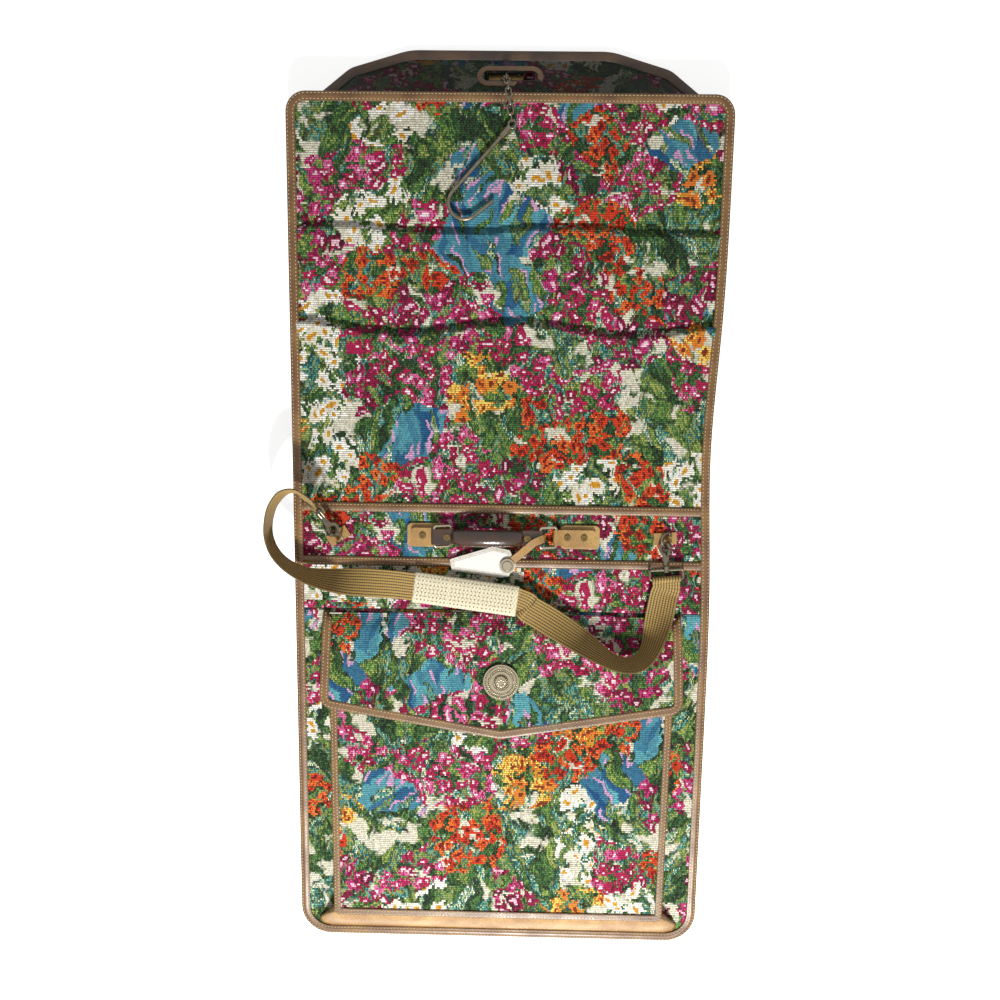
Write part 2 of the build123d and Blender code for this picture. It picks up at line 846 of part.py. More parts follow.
with BuildPart() as handle_grip:
    add(end_tab(grip_left_x, 1))
    add(end_tab(grip_right_x, -1))
    for share, width_share, height_share in (
        (-1.0, 0.62, 0.24),
        (-0.86, 0.85, 0.72),
        (-0.6, 0.97, 0.94),
        (0.0, 1.0, 1.0),
        (0.6, 0.97, 0.94),
        (0.86, 0.85, 0.72),
        (1.0, 0.62, 0.24),
    ):
        reach = grip_half - tab_reach * 0.78
        lift = grip_arch * (1 - share * share)
        centre = (grip_middle_x + share * reach, handle_y, grip_z + lift)
        with BuildSketch(Plane(origin=centre, x_dir=(0, 1, 0), z_dir=(1, 0, 0))):
            Ellipse(grip_width / 2 * width_share, grip_height / 2 * height_share)
    loft()
    for bar_x in (grip_left_x, grip_right_x):
        with BuildSketch(Plane.XZ.offset(-handle_y - loop_width)):
            with Locations((bar_x, grip_z)):
                Circle(bar_radius + bore_clearance)
        extrude(amount=loop_width * 2, mode=Mode.SUBTRACT)
    grip_rivet_xs = (grip_left_x + tab_rivet_reach, grip_right_x - tab_rivet_reach)
    add(rivet_holes(grip_rivet_xs, grip_z - roll_radius, grip_z + roll_radius), mode=Mode.SUBTRACT)
keep(handle_grip, "handle_grip")

with BuildPart() as grip_rivets:
    for rivet_x in grip_rivet_xs:
        add(rivet(rivet_x, grip_z - strap_leather, grip_z + strap_leather))
keep(grip_rivets, "grip_rivets")

# Luggage tag, lying on the lower strip, with its strap round the bar of the right ring

tag_low = face_lip_top + tag_rest_gap
tag_top = tag_low + tag_thickness
tag_corners = [(-71.0, -20.0), (-14.0, -2.0), (9.0, -6.5), (17.0, -24.0), (8.0, -42.0), (-2.0, -43.5), (-68.0, -35.0)]


def tag_outline(level, inset):
    with BuildSketch(Plane.XY.offset(level)) as outline:
        Polygon(*tag_corners, align=None)
        fillet(outline.vertices(), radius=3)
        if inset:
            offset(amount=-inset, kind=Kind.INTERSECTION)
    return outline.sketch


tag_window_area = (-22.0, 16.0)
with BuildPart() as tag_body:
    extrude(tag_outline(tag_low, 0), amount=tag_thickness)
    extrude(tag_outline(tag_top - tag_window_thickness, 5), amount=tag_window_thickness, mode=Mode.SUBTRACT)
    with BuildSketch(Plane.XY.offset(tag_low)):
        with Locations(tag_button):
            Circle(tag_button_radius + 1.5)
    extrude(amount=tag_thickness)
keep(tag_body, "tag_body")

with BuildPart() as tag_window:
    extrude(tag_outline(tag_top - tag_window_thickness, 5 + sewing_gap), amount=tag_window_thickness)
    with BuildSketch(Plane.XY.offset(tag_low)):
        with Locations(tag_button):
            Circle(tag_button_radius + 1.5 + sewing_gap)
    extrude(amount=tag_thickness, mode=Mode.SUBTRACT)
keep(tag_window, "tag_window")


def ribbon_plane(centre, tangent, bank):
    level = Vector(0, 0, 1).cross(tangent).normalized()
    up = tangent.cross(level).normalized()
    across = level * cos(radians(bank)) + up * sin(radians(bank))
    return Plane(origin=centre, x_dir=across, z_dir=tangent)


def ribbon_sections(route, width, thickness):
    centres = [Vector(x, y, z) for x, y, z, bank in route]
    sections = []
    for index, (x, y, z, bank) in enumerate(route):
        before = centres[max(index - 1, 0)]
        after = centres[min(index + 1, len(route) - 1)]
        with BuildSketch(ribbon_plane(centres[index], (after - before).normalized(), bank)) as section:
            Rectangle(width, thickness)
        sections.append(section.sketch)
    return sections


strap_z = tag_top + tag_strap_thickness / 2
wrap = roll_radius + tag_strap_thickness / 2 + 0.9
tag_strap_route = [
    (tag_button[0] - 4.0, tag_button[1] - 4.0, strap_z, 0),
    (tag_button[0] + 8.0, tag_button[1] + 7.6, strap_z, 0),
    (tag_button[0] + 13.0, tag_button[1] + 12.6, strap_z + 2.4, 0),
    (25.0, -8.5, grip_z - 1.5, 0),
    (32.0, -1.0, grip_z + wrap - 1.5, 0),
    (40.0, 6.5, grip_z + wrap + 0.2, 0),
    (grip_right_x - 1.0, 10.5, grip_z + wrap + 0.3, 0),
    (grip_right_x + 3.6, 12.0, grip_z + wrap * 0.78, 0),
    (grip_right_x + wrap + 0.2, 12.4, grip_z + 0.5, 0),
    (grip_right_x + 3.8, 12.0, grip_z - wrap * 0.74, 0),
    (grip_right_x - 1.5, 11.5, grip_z - wrap - 0.2, 0),
    (grip_right_x - 8.0, 11.0, grip_z - wrap + 0.6, 0),
]
with BuildPart() as tag_strap:
    loft(ribbon_sections(tag_strap_route, tag_strap_width, tag_strap_thickness), ruled=True)
keep(tag_strap, "tag_strap")

with BuildPart() as tag_snap:
    with BuildSketch(Plane.XY.offset(strap_z + tag_strap_thickness / 2)):
        with Locations(tag_button):
            Circle(tag_button_radius)
    extrude(amount=tag_button_height * 0.5)
    with BuildSketch(Plane.XY.offset(strap_z + tag_strap_thickness / 2 + tag_button_height * 0.5)):
        with Locations(tag_button):
            Circle(tag_button_radius * 0.75)
    extrude(amount=tag_button_height * 0.5, taper=40)
keep(tag_snap, "tag_snap")


# Snap hooks: each hangs between a D-ring on the handle panel and the strap's eye


def wire_ring(plane, length, width, corner, wire):
    with BuildPart() as ring:
        with BuildSketch(plane, mode=Mode.PRIVATE) as shape:
            RectangleRounded(length, width, corner)
        line = shape.sketch.faces()[0].outer_wire()
        with BuildSketch(Plane(origin=line @ 0, z_dir=line % 0)):
            Circle(wire)
        sweep(path=line)
    return ring.part


snap_sides = {
    "left": {"place": (-219.5, 9.0), "towards": (0.541, -0.841), "lift": 22.0, "eye_bank": 65.0},
    "right": {"place": (214.0, 12.0), "towards": (-0.06, 0.998), "lift": 0.0, "eye_bank": 0.0},
}
d_bar_z = bag_depth + d_bar_rise
d_arc_reach = sqrt(d_bar_half**2 - (d_hook_line - d_leg) ** 2)
eye_bar_ends = {}

for side_name, side in snap_sides.items():
    flat = unit(side["towards"][0], side["towards"][1], 0)
    across = Vector(0, 0, 1).cross(flat)
    lean = across * cos(radians(d_tilt)) + Vector(0, 0, 1) * sin(radians(d_tilt))
    middle = Vector(side["place"][0], side["place"][1], d_bar_z + d_hook_line * sin(radians(d_tilt)))
    bar = middle - lean * d_hook_line
    hook_on = middle - flat * d_arc_reach
    along = flat * cos(radians(side["lift"])) - Vector(0, 0, 1) * sin(radians(side["lift"]))
    upright = along.cross(across)
    normal = upright * cos(radians(snap_roll)) + across * sin(radians(snap_roll))
    opening = hook_on - along * (snap_opening - d_wire - 0.7)
    snap_plane = Plane(origin=opening, x_dir=along, z_dir=normal)

    # D-ring: a straight bar in the leather chape and a round arc above it
    d_plane = Plane(origin=bar, x_dir=flat, z_dir=flat.cross(lean))
    with BuildPart() as d_ring:
        with BuildLine(d_plane) as d_line:
            foot = Polyline((-d_bar_half, d_leg), (-d_bar_half, 0), (d_bar_half, 0), (d_bar_half, d_leg))
            fillet(d_line.vertices().sort_by(Axis.Z)[:2], radius=2)
            ThreePointArc((-d_bar_half, d_leg), (0, d_leg + d_bar_half), (d_bar_half, d_leg))
        with BuildSketch(Plane(origin=bar, z_dir=flat)):
            Circle(d_wire)
        sweep(path=d_line.wire())
    keep(d_ring, f"d_ring_{side_name}")

    # Chape: a leather patch sewn to the panel, rolled round the D-ring's bar
    chape_plane = Plane(origin=(bar.X, bar.Y, bag_depth), x_dir=across, z_dir=flat)
    roll_outer = d_wire + rivet_fit + leather
    with BuildPart() as chape:
        with BuildSketch(chape_plane):
            with Locations((chape_length / 6, leather / 2)):
                Rectangle(chape_length, leather)
        extrude(amount=chape_width / 2, both=True)
        with BuildSketch(chape_plane):
            with Locations((0, d_bar_rise)):
                Circle(roll_outer)
            Polygon(
                (-roll_outer, leather / 2),
                (roll_outer, leather / 2),
                (roll_outer, d_bar_rise),
                (-roll_outer, d_bar_rise),
                align=None,
            )
            with Locations((0, d_bar_rise)):
                Circle(d_wire + rivet_fit, mode=Mode.SUBTRACT)
        extrude(amount=chape_roll_length / 2, both=True)
    keep(chape, f"chape_{side_name}")

    # Hook body: a flat cast hook, open on one side, with a fork for the gate and a swivel post
    outer_radius = snap_opening + snap_section
    pivot = (-outer_radius - 2.0, -2.6)
    mouth_start = -80.0
    fork = gate_thickness + 2 * gate_clearance
    with BuildPart() as snap_hook:
        with BuildSketch(snap_plane):
            Circle(outer_radius)
            Circle(snap_opening, mode=Mode.SUBTRACT)
            Polygon((0, 0), (-18, -1.2), (-18, -18), (18 * cos(radians(mouth_start)), -18), align=None, mode=Mode.SUBTRACT)
            Polygon(
                (-outer_radius + 1.5, snap_section),
                (-outer_radius + 1.5, -snap_section * 0.3),
                (pivot[0] + 1, pivot[1] - 2.4),
                (pivot[0] - 3, pivot[1] - 2.4),
                (-snap_shank, -swivel_post),
                (-snap_shank, swivel_post),
                align=None,
            )
        extrude(amount=snap_thickness / 2, both=True)
        with BuildSketch(snap_plane):
            Polygon(
                (pivot[0] - 3.5, -1.0),
                (-snap_opening + 0.5, 1.2),
                (-snap_opening + 0.5, -12),
                (pivot[0] - 3.5, -12),
                align=None,
            )
        extrude(amount=fork / 2, both=True, mode=Mode.SUBTRACT)
        with BuildSketch(snap_plane):
            with Locations(pivot):
                Circle(gate_pin)
        extrude(amount=snap_thickness / 2, both=True)
        post_plane = Plane(origin=opening - along * snap_shank, x_dir=across, z_dir=-along)
        with BuildSketch(post_plane):
            Circle(swivel_post)
        extrude(amount=8.6)
        with BuildSketch(post_plane.offset(7.4)):
            Circle(swivel_post * 1.7)
        extrude(amount=1.2)
    keep(snap_hook, f"snap_hook_{side_name}")

    # Gate: a sprung bar that closes the hook's mouth and turns on the fork's pin
    nose = snap_opening + snap_section / 2
    nose_x = nose * cos(radians(mouth_start))
    nose_y = nose * sin(radians(mouth_start)) + gate_clearance
    gate_heading = degrees(atan2(nose_y - pivot[1], nose_x - pivot[0]))
    gate_length = hypot(nose_x - pivot[0], nose_y - pivot[1]) - gate_width / 2 - gate_tip_gap
    with BuildPart() as snap_gate:
        with BuildSketch(snap_plane):
            with Locations(Location((pivot[0], pivot[1], 0), (0, 0, gate_heading))):
                with Locations((gate_length / 2, 0)):
                    SlotOverall(gate_length + gate_width, gate_width)
                with Locations((gate_length * 0.6, -gate_width * 0.6)):
                    Circle(gate_width * 0.5)
                Circle(gate_pin + bore_clearance, mode=Mode.SUBTRACT)
        extrude(amount=gate_thickness / 2, both=True)
    keep(snap_gate, f"snap_gate_{side_name}")

    # Strap eye: a wide wire loop that turns on the hook's post
    eye_x = across * cos(radians(side["eye_bank"])) + upright * sin(radians(side["eye_bank"]))
    boss_reach = snap_shank + 1.0
    near_bar = snap_length - eye_depth - 2 * eye_wire
    eye_middle = opening - along * ((snap_length + near_bar) / 2)
    eye_plane = Plane(origin=eye_middle, x_dir=along, z_dir=along.cross(eye_x))
    with BuildPart() as strap_eye:
        add(wire_ring(eye_plane, snap_length - near_bar, eye_inner_width + 2 * eye_wire, eye_corner, eye_wire))
        with BuildSketch(Plane(origin=opening - along * boss_reach, x_dir=across, z_dir=-along)):
            Circle(swivel_post * 2)
        extrude(amount=8.2)
        with BuildSketch(Plane(origin=opening - along * boss_reach, x_dir=across, z_dir=-along)):
            Circle(swivel_post + bore_clearance)
        extrude(amount=6.2, mode=Mode.SUBTRACT)
        with BuildSketch(Plane(origin=opening - along * (boss_reach + 6.2), x_dir=across, z_dir=-along)):
            Circle(swivel_post * 1.7 + bore_clearance)
        extrude(amount=1.6, mode=Mode.SUBTRACT)
    keep(strap_eye, f"strap_eye_{side_name}")

    eye_bar_ends[side_name] = {
        "bar": opening - along * snap_length,
        "along": along,
        "across": eye_x,
        "pivot": snap_plane.from_local_coords((pivot[0], pivot[1], 0)),
        "normal": normal,
    }

# Shoulder strap: one length of ribbed webbing that lies flat under its label and stands on edge at its turns

webbing_route = [
    (214.5, -64.0, 53.0, 4),
    (209.7, -87.0, 58.0, 18),
    (203.5, -110.0, 66.0, 42),
    (196.0, -131.0, 73.5, 62),
    (184.0, -146.5, 76.5, 72),
    (167.0, -152.0, 77.0, 75),
    (149.0, -148.5, 76.5, 72),
    (129.0, -138.0, 74.0, 60),
    (107.0, -124.5, 69.5, 43),
    (83.0, -110.0, 64.5, 27),
    (58.0, -95.5, 60.0, 12),
    (36.0, -83.5, 57.0, 3),
    (20.5, -74.0, 55.5, 0),
    (-118.5, -56.5, 54.0, 0),
    (-148.0, -53.5, 54.5, 4),
    (-178.0, -51.5, 57.0, 16),
    (-208.0, -49.5, 61.0, 36),
    (-236.0, -46.0, 64.5, 58),
    (-262.0, -39.0, 66.0, 75),
    (-285.0, -26.0, 66.5, 85),
    (-300.0, -9.0, 66.5, 89),
    (-307.0, 12.0, 66.5, 90),
    (-305.5, 34.0, 67.5, 88),
    (-298.0, 54.0, 70.0, 84),
    (-284.0, 69.0, 73.5, 79),
    (-267.0, 71.5, 75.5, 73),
]


def eye_roll(end):
    roll_plane = Plane(origin=end["bar"], x_dir=end["along"], z_dir=end["across"])
    with BuildPart() as roll:
        with BuildSketch(roll_plane):
            Circle(eye_wire + rivet_fit + webbing_thickness)
            Circle(eye_wire + rivet_fit, mode=Mode.SUBTRACT)
        extrude(amount=webbing_width / 2, both=True)
    return roll.part


right_end = eye_bar_ends["right"]
left_end = eye_bar_ends["left"]
roll_middle = eye_wire + rivet_fit + webbing_thickness / 2
right_start = right_end["bar"] - right_end["along"] * roll_middle
left_finish = left_end["bar"] - left_end["along"] * roll_middle
eye_stub = 9.0


def route_point(place, bank):
    return (place.X, place.Y, place.Z, bank)


full_route = [
    route_point(right_start, snap_sides["right"]["eye_bank"]),
    route_point(right_start - right_end["along"] * eye_stub, snap_sides["right"]["eye_bank"]),
    *webbing_route,
    route_point(left_finish - left_end["along"] * eye_stub, snap_sides["left"]["eye_bank"]),
    route_point(left_finish, snap_sides["left"]["eye_bank"]),
]
with BuildPart() as shoulder_strap:
    loft(ribbon_sections(full_route, webbing_width, webbing_thickness), ruled=True)
    add(eye_roll(right_end))
    add(eye_roll(left_end))
keep(shoulder_strap, "shoulder_strap")

# Label sleeve sewn round the straight part of the strap

label_start = Vector(*webbing_route[12][:3])
label_end = Vector(*webbing_route[13][:3])
label_along = (label_end - label_start).normalized()
label_plane = ribbon_plane((label_start + label_end) * 0.5, label_along, 0)
with BuildPart() as strap_label:
    with BuildSketch(label_plane.offset(-label_length / 2)):
        RectangleRounded(label_width, webbing_thickness + 2 * label_cloth, label_cloth)
        Rectangle(webbing_width + 2 * rivet_fit, webbing_thickness + 2 * rivet_fit, mode=Mode.SUBTRACT)
    extrude(amount=label_length)
keep(strap_label, "strap_label")

# Hanger: a bracket inside the bag, a chain out through the slit, and a swivelling wire hook

ear_z = back_panel_top - leather + bracket_plate + bracket_hole + 1.6
ear_top = ear_z + bracket_hole + 1.8
foot_x, foot_y = chain_foot
with BuildPart() as hanger_bracket:
    with BuildSketch(Plane.XY.offset(cloth)):
        with Locations((foot_x, foot_y - 3)):
            RectangleRounded(bracket_width, bracket_length, 5)
            GridLocations(bracket_width - 10, bracket_length - 10, 2, 2)
        with Locations((foot_x, foot_y - 3)):
            with GridLocations(bracket_width - 10, bracket_length - 10, 2, 2):
                Circle(1.6, mode=Mode.SUBTRACT)
    extrude(amount=bracket_plate)
    with BuildSketch(Plane.XZ.offset(-foot_y)):
        with Locations((foot_x, (cloth + ear_top) / 2)):
            RectangleRounded(14, ear_top - cloth, 2)
        with Locations((foot_x, ear_z)):
            Circle(bracket_hole, mode=Mode.SUBTRACT)
    extrude(amount=bracket_ear / 2, both=True)
keep(hanger_bracket, "hanger_bracket")


def chain_link(middle, heading, roll):
    level = (Vector(1, 0, 0) - heading * heading.X).normalized()
    raised = heading.cross(level)
    flat_side = level * cos(radians(roll)) + raised * sin(radians(roll))
    plane = Plane(origin=middle, x_dir=heading, z_dir=heading.cross(flat_side))
    with BuildPart() as link:
        with BuildSketch(plane, mode=Mode.PRIVATE) as shape:
            SlotOverall(chain_link_length - 2 * chain_wire, chain_link_width - 2 * chain_wire)
        line = shape.sketch.faces()[0].outer_wire()
        with BuildSketch(Plane(origin=line @ 0, z_dir=line % 0)):
            RegularPolygon(chain_wire, 8)
        sweep(path=line)
    return link.part


link_half = chain_link_length / 2 - chain_wire
joint = Vector(foot_x, foot_y, ear_z + bracket_hole - chain_wire - 0.4 + link_half - chain_pitch / 2)
with BuildPart() as hanger_chain:
    for lean_angle, roll in zip(chain_leans, chain_rolls):
        reach = sin(radians(lean_angle))
        drift = radians(chain_drift)
        heading = Vector(reach * sin(drift), -reach * cos(drift), cos(radians(lean_angle)))
        add(chain_link(joint + heading * (chain_pitch / 2), heading, roll))
        joint = joint + heading * chain_pitch
keep(hanger_chain, "hanger_chain")

# Swivel: a short barrel with an eye ring, bored for the head of the hook's wire

hook_down = Vector(cos(radians(hook_heading)), sin(radians(hook_heading)), 0)
link_end = joint + heading * (link_half - chain_pitch / 2)
eye_near = link_end - heading * (chain_wire + swivel_eye_wire + link_play)
eye_centre = eye_near + heading * swivel_eye_radius
barrel_end = eye_centre + hook_down * (swivel_eye_radius + swivel_eye_wire * 0.4)
hook_start = barrel_end + hook_down * swivel_length
hook_z = hook_start.Z
hook_side = Vector(0, 0, 1).cross(hook_down)


def shank_plane(distance):
    return Plane(origin=hook_start - hook_down * distance, x_dir=hook_side, z_dir=-hook_down)


with BuildPart() as hanger_swivel:
    with BuildSketch(shank_plane(0)):
        Circle(swivel_radius)
    extrude(amount=swivel_length)
    with BuildSketch(Plane(origin=eye_centre + hook_side * swivel_eye_radius, x_dir=(0, 0, 1), z_dir=hook_down)):
        Circle(swivel_eye_wire)
    revolve(axis=Axis(eye_centre, (0, 0, 1)))
    with BuildSketch(shank_plane(0)):
        Circle(hook_wire + bore_clearance)
    extrude(amount=swivel_grip, mode=Mode.SUBTRACT)
    with BuildSketch(shank_plane(swivel_grip)):
        Circle(hook_head_radius + bore_clearance)
    extrude(amount=hook_head_length + bore_clearance, mode=Mode.SUBTRACT)
keep(hanger_swivel, "hanger_swivel")

# Hook: round wire with a wide open bend

head_end = hook_start - hook_down * swivel_grip
bend_start = hook_start + hook_down * hook_shank
bend_centre = bend_start + hook_side * hook_bend_radius
turn_middle = radians(hook_bend_turn / 2)
turn_end = radians(hook_bend_turn)
bend_middle = bend_centre - hook_side * (hook_bend_radius * cos(turn_middle)) + hook_down * (hook_bend_radius * sin(turn_middle))
bend_end = bend_centre - hook_side * (hook_bend_radius * cos(turn_end)) + hook_down * (hook_bend_radius * sin(turn_end))
return_heading = hook_down * cos(turn_end) + hook_side * sin(turn_end)
hook_tip = bend_end + return_heading * hook_return
with BuildPart() as hanger_hook:
    with BuildLine() as hook_line:
        Line(head_end, bend_start)
        ThreePointArc(bend_start, bend_middle, bend_end)
        Line(bend_end, hook_tip)
    with BuildSketch(Plane(origin=head_end, z_dir=hook_down)):
        Circle(hook_wire)
    sweep(path=hook_line.wire())
    with BuildSketch(shank_plane(swivel_grip)):
        Circle(hook_head_radius)
    extrude(amount=hook_head_length)
    fillet(hanger_hook.edges().filter_by(GeomType.CIRCLE).sort_by_distance(hook_tip)[0], radius=hook_wire * 0.6)
keep(hanger_hook, "hanger_hook")
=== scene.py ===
# %% [markdown]
# # A folding garment bag, opened out flat
# The real bag is two long faces of woven tapestry joined by a folded gusset all round, with the raw
# edges held in leather binding. The CAD model gives the frame, and every soft piece is made again here.

# %% Load the frame
import bpy
import bmesh
from math import atan2, cos, exp, hypot, pi, radians, sin, tan
from mathutils import Matrix, Vector, noise


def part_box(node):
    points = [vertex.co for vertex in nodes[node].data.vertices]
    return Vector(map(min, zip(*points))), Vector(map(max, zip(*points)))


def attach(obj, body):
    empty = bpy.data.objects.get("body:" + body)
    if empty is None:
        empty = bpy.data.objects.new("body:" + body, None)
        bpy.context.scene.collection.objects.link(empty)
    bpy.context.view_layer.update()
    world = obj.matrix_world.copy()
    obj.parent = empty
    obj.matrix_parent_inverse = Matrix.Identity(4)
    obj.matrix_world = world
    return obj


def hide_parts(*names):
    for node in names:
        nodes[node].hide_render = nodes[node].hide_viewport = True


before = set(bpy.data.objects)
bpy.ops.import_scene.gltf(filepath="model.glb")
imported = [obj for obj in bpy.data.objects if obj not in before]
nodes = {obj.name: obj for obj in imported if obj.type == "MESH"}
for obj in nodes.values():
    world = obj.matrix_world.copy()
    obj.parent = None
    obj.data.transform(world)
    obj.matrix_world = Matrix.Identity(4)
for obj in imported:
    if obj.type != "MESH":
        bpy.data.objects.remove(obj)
scene = bpy.context.scene
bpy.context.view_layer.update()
MM = 0.001  # metres in a millimetre

# %% [markdown]
# ## Camera, light and floor
# The picture looks nearly straight down from about 1.2 m. One broad lamp stands beyond the foot end, so
# shadows fall towards the hook. The floor shows white to the camera but still takes the shadow.

# %% Camera
camera = bpy.data.objects.new("camera", bpy.data.cameras.new("camera"))
camera.data.sensor_width = 36.0
camera.data.lens = 30.45
camera.location = (0.0110, 0.2200, 1.1500)
camera.rotation_euler = (-0.1430, 0.0165, 0.0140)
scene.collection.objects.link(camera)
scene.camera = camera
scene.view_settings.view_transform = "Standard"
print("camera lens", camera.data.lens)


# %% Colours and nodes
def paint(code):
    """A linear colour from an sRGB hex code."""
    channels = [int(code[i:i + 2], 16) / 255 for i in (1, 3, 5)]
    return tuple(c / 12.92 if c <= 0.04045 else ((c + 0.055) / 1.055) ** 2.4 for c in channels) + (1.0,)


def add_node(tree, kind, inputs=None, **settings):
    """A node with its settings; an input takes a value, a node's first output, or a socket."""
    node = tree.nodes.new(kind)
    for name, value in settings.items():
        setattr(node, name, value)
    for key, value in (inputs or {}).items():
        if isinstance(value, bpy.types.Node):
            tree.links.new(value.outputs[0], node.inputs[key])
        elif isinstance(value, bpy.types.NodeSocket):
            tree.links.new(value, node.inputs[key])
        else:
            node.inputs[key].default_value = value
    return node


def blank_material(name):
    material = bpy.data.materials.new(name)
    material.use_nodes = True
    tree = material.node_tree
    tree.nodes.clear()
    return material, tree


# %% Lamp, sky and floor
key_lamp = bpy.data.objects.new("key_lamp", bpy.data.lights.new("key_lamp", "AREA"))
key_lamp.data.shape = "DISK"
key_lamp.data.size = 0.32
key_lamp.data.energy = 82
key_lamp.location = (0.12, -1.85, 1.75)
aim = Vector((0.0, 0.0, 0.0)) - key_lamp.location
key_lamp.rotation_euler = aim.to_track_quat("-Z", "Y").to_euler()
scene.collection.objects.link(key_lamp)

world = bpy.data.worlds.new("soft_room")
world.use_nodes = True
scene.world = world
sky = world.node_tree
sky.nodes.clear()
ray = add_node(sky, "ShaderNodeLightPath")
seen = add_node(sky, "ShaderNodeMath", {0: ray.outputs["Is Camera Ray"], 1: ray.outputs["Is Glossy Ray"]},
                operation="MAXIMUM")
seen = add_node(sky, "ShaderNodeMath", {0: seen, 1: ray.outputs["Is Transmission Ray"]}, operation="MAXIMUM")
level = add_node(sky, "ShaderNodeMapRange", {0: seen, 3: 0.27, 4: 1.0})
add_node(sky, "ShaderNodeOutputWorld",
         {0: add_node(sky, "ShaderNodeBackground", {"Color": (1, 1, 1, 1), "Strength": level})})

floor_mesh = bmesh.new()
bmesh.ops.create_grid(floor_mesh, x_segments=1, y_segments=1, size=9.0)
floor_data = bpy.data.meshes.new("floor")
floor_mesh.to_mesh(floor_data)
floor_mesh.free()
floor = bpy.data.objects.new("floor", floor_data)
scene.collection.objects.link(floor)
floor_white, tree = blank_material("matt_white_board")
ray = add_node(tree, "ShaderNodeLightPath")
seen = add_node(tree, "ShaderNodeMath", {0: ray.outputs["Is Camera Ray"], 1: 0.74}, operation="MULTIPLY")
glow = add_node(tree, "ShaderNodeEmission", {"Color": (1, 1, 1, 1), "Strength": seen})
board = add_node(tree, "ShaderNodeBsdfDiffuse", {"Color": paint("#f0f0ee")})
add_node(tree, "ShaderNodeOutputMaterial", {0: add_node(tree, "ShaderNodeAddShader", {0: board, 1: glow})})
floor_data.materials.append(floor_white)
print("stage set")

# %% [markdown]
# ## The tapestry
# The real cloth is a cotton jacquard: flowers and leaves worked in coloured weft, so the picture is built
# from short ribs of one colour each. A snapped grid gives those ribs, cells of a Voronoi texture give
# blossoms and leaves, and larger cells choose which plant grows where. The layout is a generic one.


